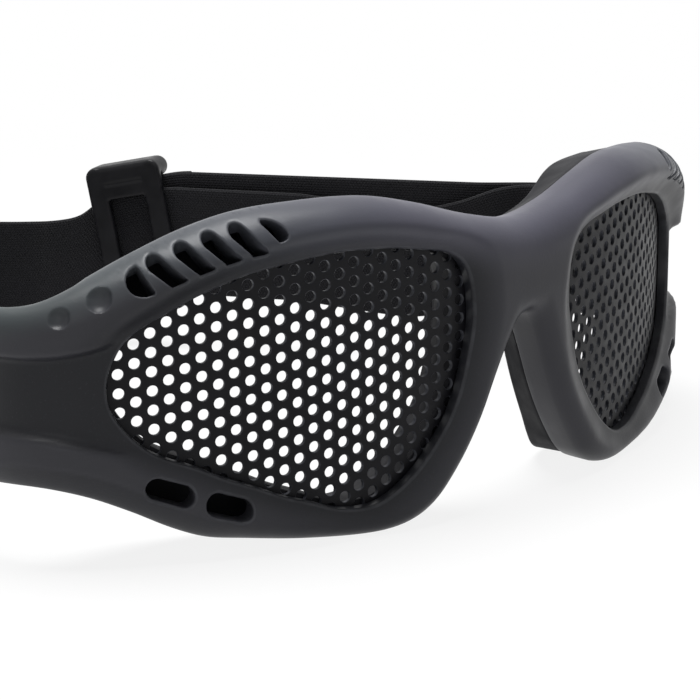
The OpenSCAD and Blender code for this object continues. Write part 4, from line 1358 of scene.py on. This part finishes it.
def stitches(name, rows):
    mesh = bpy.data.meshes.new(name)
    mesh.from_pydata([tuple(np.array(p) * MM) for row in rows for p in row],
                     [(2 * i, 2 * i + 1) for i in range(len(rows))], [])
    piece = through_tree(placed(name, mesh), stitch_tree("sew " + name, thread_mat))
    piece.data.shade_smooth()
    print("%s: %d faces" % (name, len(piece.data.polygons)))
    return piece


ROW_UP, THREAD_OUT = STRAP_W / 2 - 3, STRAP_T / 2 + 0.12
anchor_rows = [[right_at(17 - 2 * i, SEWN_N + THREAD_OUT, z - 1) for z in (-ROW_UP, ROW_UP)]
               for i in range(3)]
tail_rows = [[run_at(13 - 2 * i, TAIL_N + SEWN_N + THREAD_OUT, z) for z in (-ROW_UP, ROW_UP)]
             for i in range(2)]
anchor_stitches = stitches("anchor_thread", anchor_rows)
tail_stitches = stitches("tail_thread", tail_rows)

# %% [markdown]
# The light is a plain soft studio: one large lamp overhead and a little behind, which draws the
# satin line along the brow, a wide weak one at the camera's side, and a dim pale world. What the
# camera sees behind the object is white through Light Path, so the lamps never have to be bright
# enough to burn the floor out.
# %% Floor, world and lamps
FLOOR_GAP, FLOOR_HALF, FLOOR_MIDDLE = 0.0001, 3, (0, 0.06)
GLOW_NEAR, GLOW_FAR, GLOW_LOW = 0.12, 0.5, 0.86
everything = [front_shell, backing_frame, lens_right, lens_left, strap_band, strap_tail, tail_loop,
              slider, anchor_stitches, tail_stitches]
lowest = min(v.co.z for piece in everything for v in piece.data.vertices)
floor = placed("studio_floor", bpy.data.meshes.new("studio_floor"))
floor.data.from_pydata([(x * FLOOR_HALF, y * FLOOR_HALF, lowest - FLOOR_GAP)
                        for x, y in ((-1, -1), (1, -1), (1, 1), (-1, 1))], [], [(0, 1, 2, 3)])


def seen_white(n):
    """1 for rays on which the background shows white: camera, glossy and transmission rays."""
    path = n.node("ShaderNodeLightPath").outputs
    total = path["Is Camera Ray"]
    for label in ("Is Glossy Ray", "Is Transmission Ray"):
        total = n.math("MAXIMUM", total, path[label])
    return total


def studio_nodes(thing, output, share_of, plain, white):
    """Gives a floor's material or a world two shaders, the white one for the rays that see it."""
    thing.use_nodes = True
    thing.node_tree.nodes.clear()
    n = Nodes(thing.node_tree)
    one, two = (n.node(kind, inputs).outputs[0] for kind, inputs in (plain, white))
    both = n.node("ShaderNodeMixShader", {0: share_of(n), 1: one, 2: two})
    n.node(output, {0: both.outputs[0]})
    return thing


def glow_share(n):
    """The floor glows a little less under the object, where its shadow falls."""
    spot = n.node("ShaderNodeTexCoord").outputs["Object"]
    far = n.node("ShaderNodeVectorMath", {0: spot, 1: (*FLOOR_MIDDLE, lowest)},
                 operation="DISTANCE")
    fade = n.node("ShaderNodeMapRange", {0: far.outputs["Value"], 1: GLOW_NEAR, 2: GLOW_FAR,
                                         3: GLOW_LOW, 4: 1.0})
    return n.math("MULTIPLY", seen_white(n), fade.outputs[0])


floor.data.materials.append(studio_nodes(
    bpy.data.materials.new("studio_floor"), "ShaderNodeOutputMaterial", glow_share,
    ("ShaderNodeBsdfDiffuse", {0: (0.85, 0.85, 0.85, 1)}),
    ("ShaderNodeEmission", {0: (1, 1, 1, 1)})))
bpy.context.scene.world = studio_nodes(
    bpy.data.worlds.new("studio"), "ShaderNodeOutputWorld", seen_white,
    ("ShaderNodeBackground", {0: (0.92, 0.94, 1, 1), 1: 0.12}),
    ("ShaderNodeBackground", {0: (1, 1, 1, 1), 1: 1.0}))


def lamp(name, place, target, size, power):
    light = bpy.data.lights.new(name, "AREA")
    light.shape, light.size, light.energy = "DISK", size, power
    made = placed(name, light)
    made.location = place
    aim(made, Vector(target) - Vector(place))


lamp("overhead", (0.0, 0.15, 0.85), (0, 0.02, 0), 0.6, 12)
lamp("camera_side", (-0.9, -0.5, 0.45), (0, 0, 0), 0.7, 1.0)
print("studio set, floor at %.4f m" % (lowest - FLOOR_GAP))

# %% [markdown]
# Every piece stands for its CAD nodes, which are hidden, and all but one ride on their body. The
# tail is the one piece that crosses the joint, so it rides on neither body and stays where it is
# made.
# %% Bodies and hidden CAD parts
for piece, body, slot, nodes_here in (
        (front_shell, "goggles", "shell_rubber", ["front_shell"]),
        (backing_frame, "goggles", "backing_rubber", ["backing_frame"]),
        (lens_right, "goggles", "lens_steel", ["lens_mesh_right"]),
        (lens_left, "goggles", "lens_steel", ["lens_mesh_left"]),
        (strap_band, "goggles", "webbing", ["strap_band"]),
        (anchor_stitches, "goggles", "thread", ["anchor_stitches"]),
        (tail_loop, "adjuster", "webbing", ["strap_tail_loop"]),
        (slider, "adjuster", "slider_plastic", ["slider", "slider_pin"]),
        (tail_stitches, "adjuster", "thread", ["tail_stitches"]),
        (strap_tail, None, "webbing", ["strap_tail"])):
    if body:
        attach(piece, body)
    else:
        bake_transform(piece)
    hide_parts(*nodes_here)

bpy.context.scene.view_settings.view_transform = "Standard"
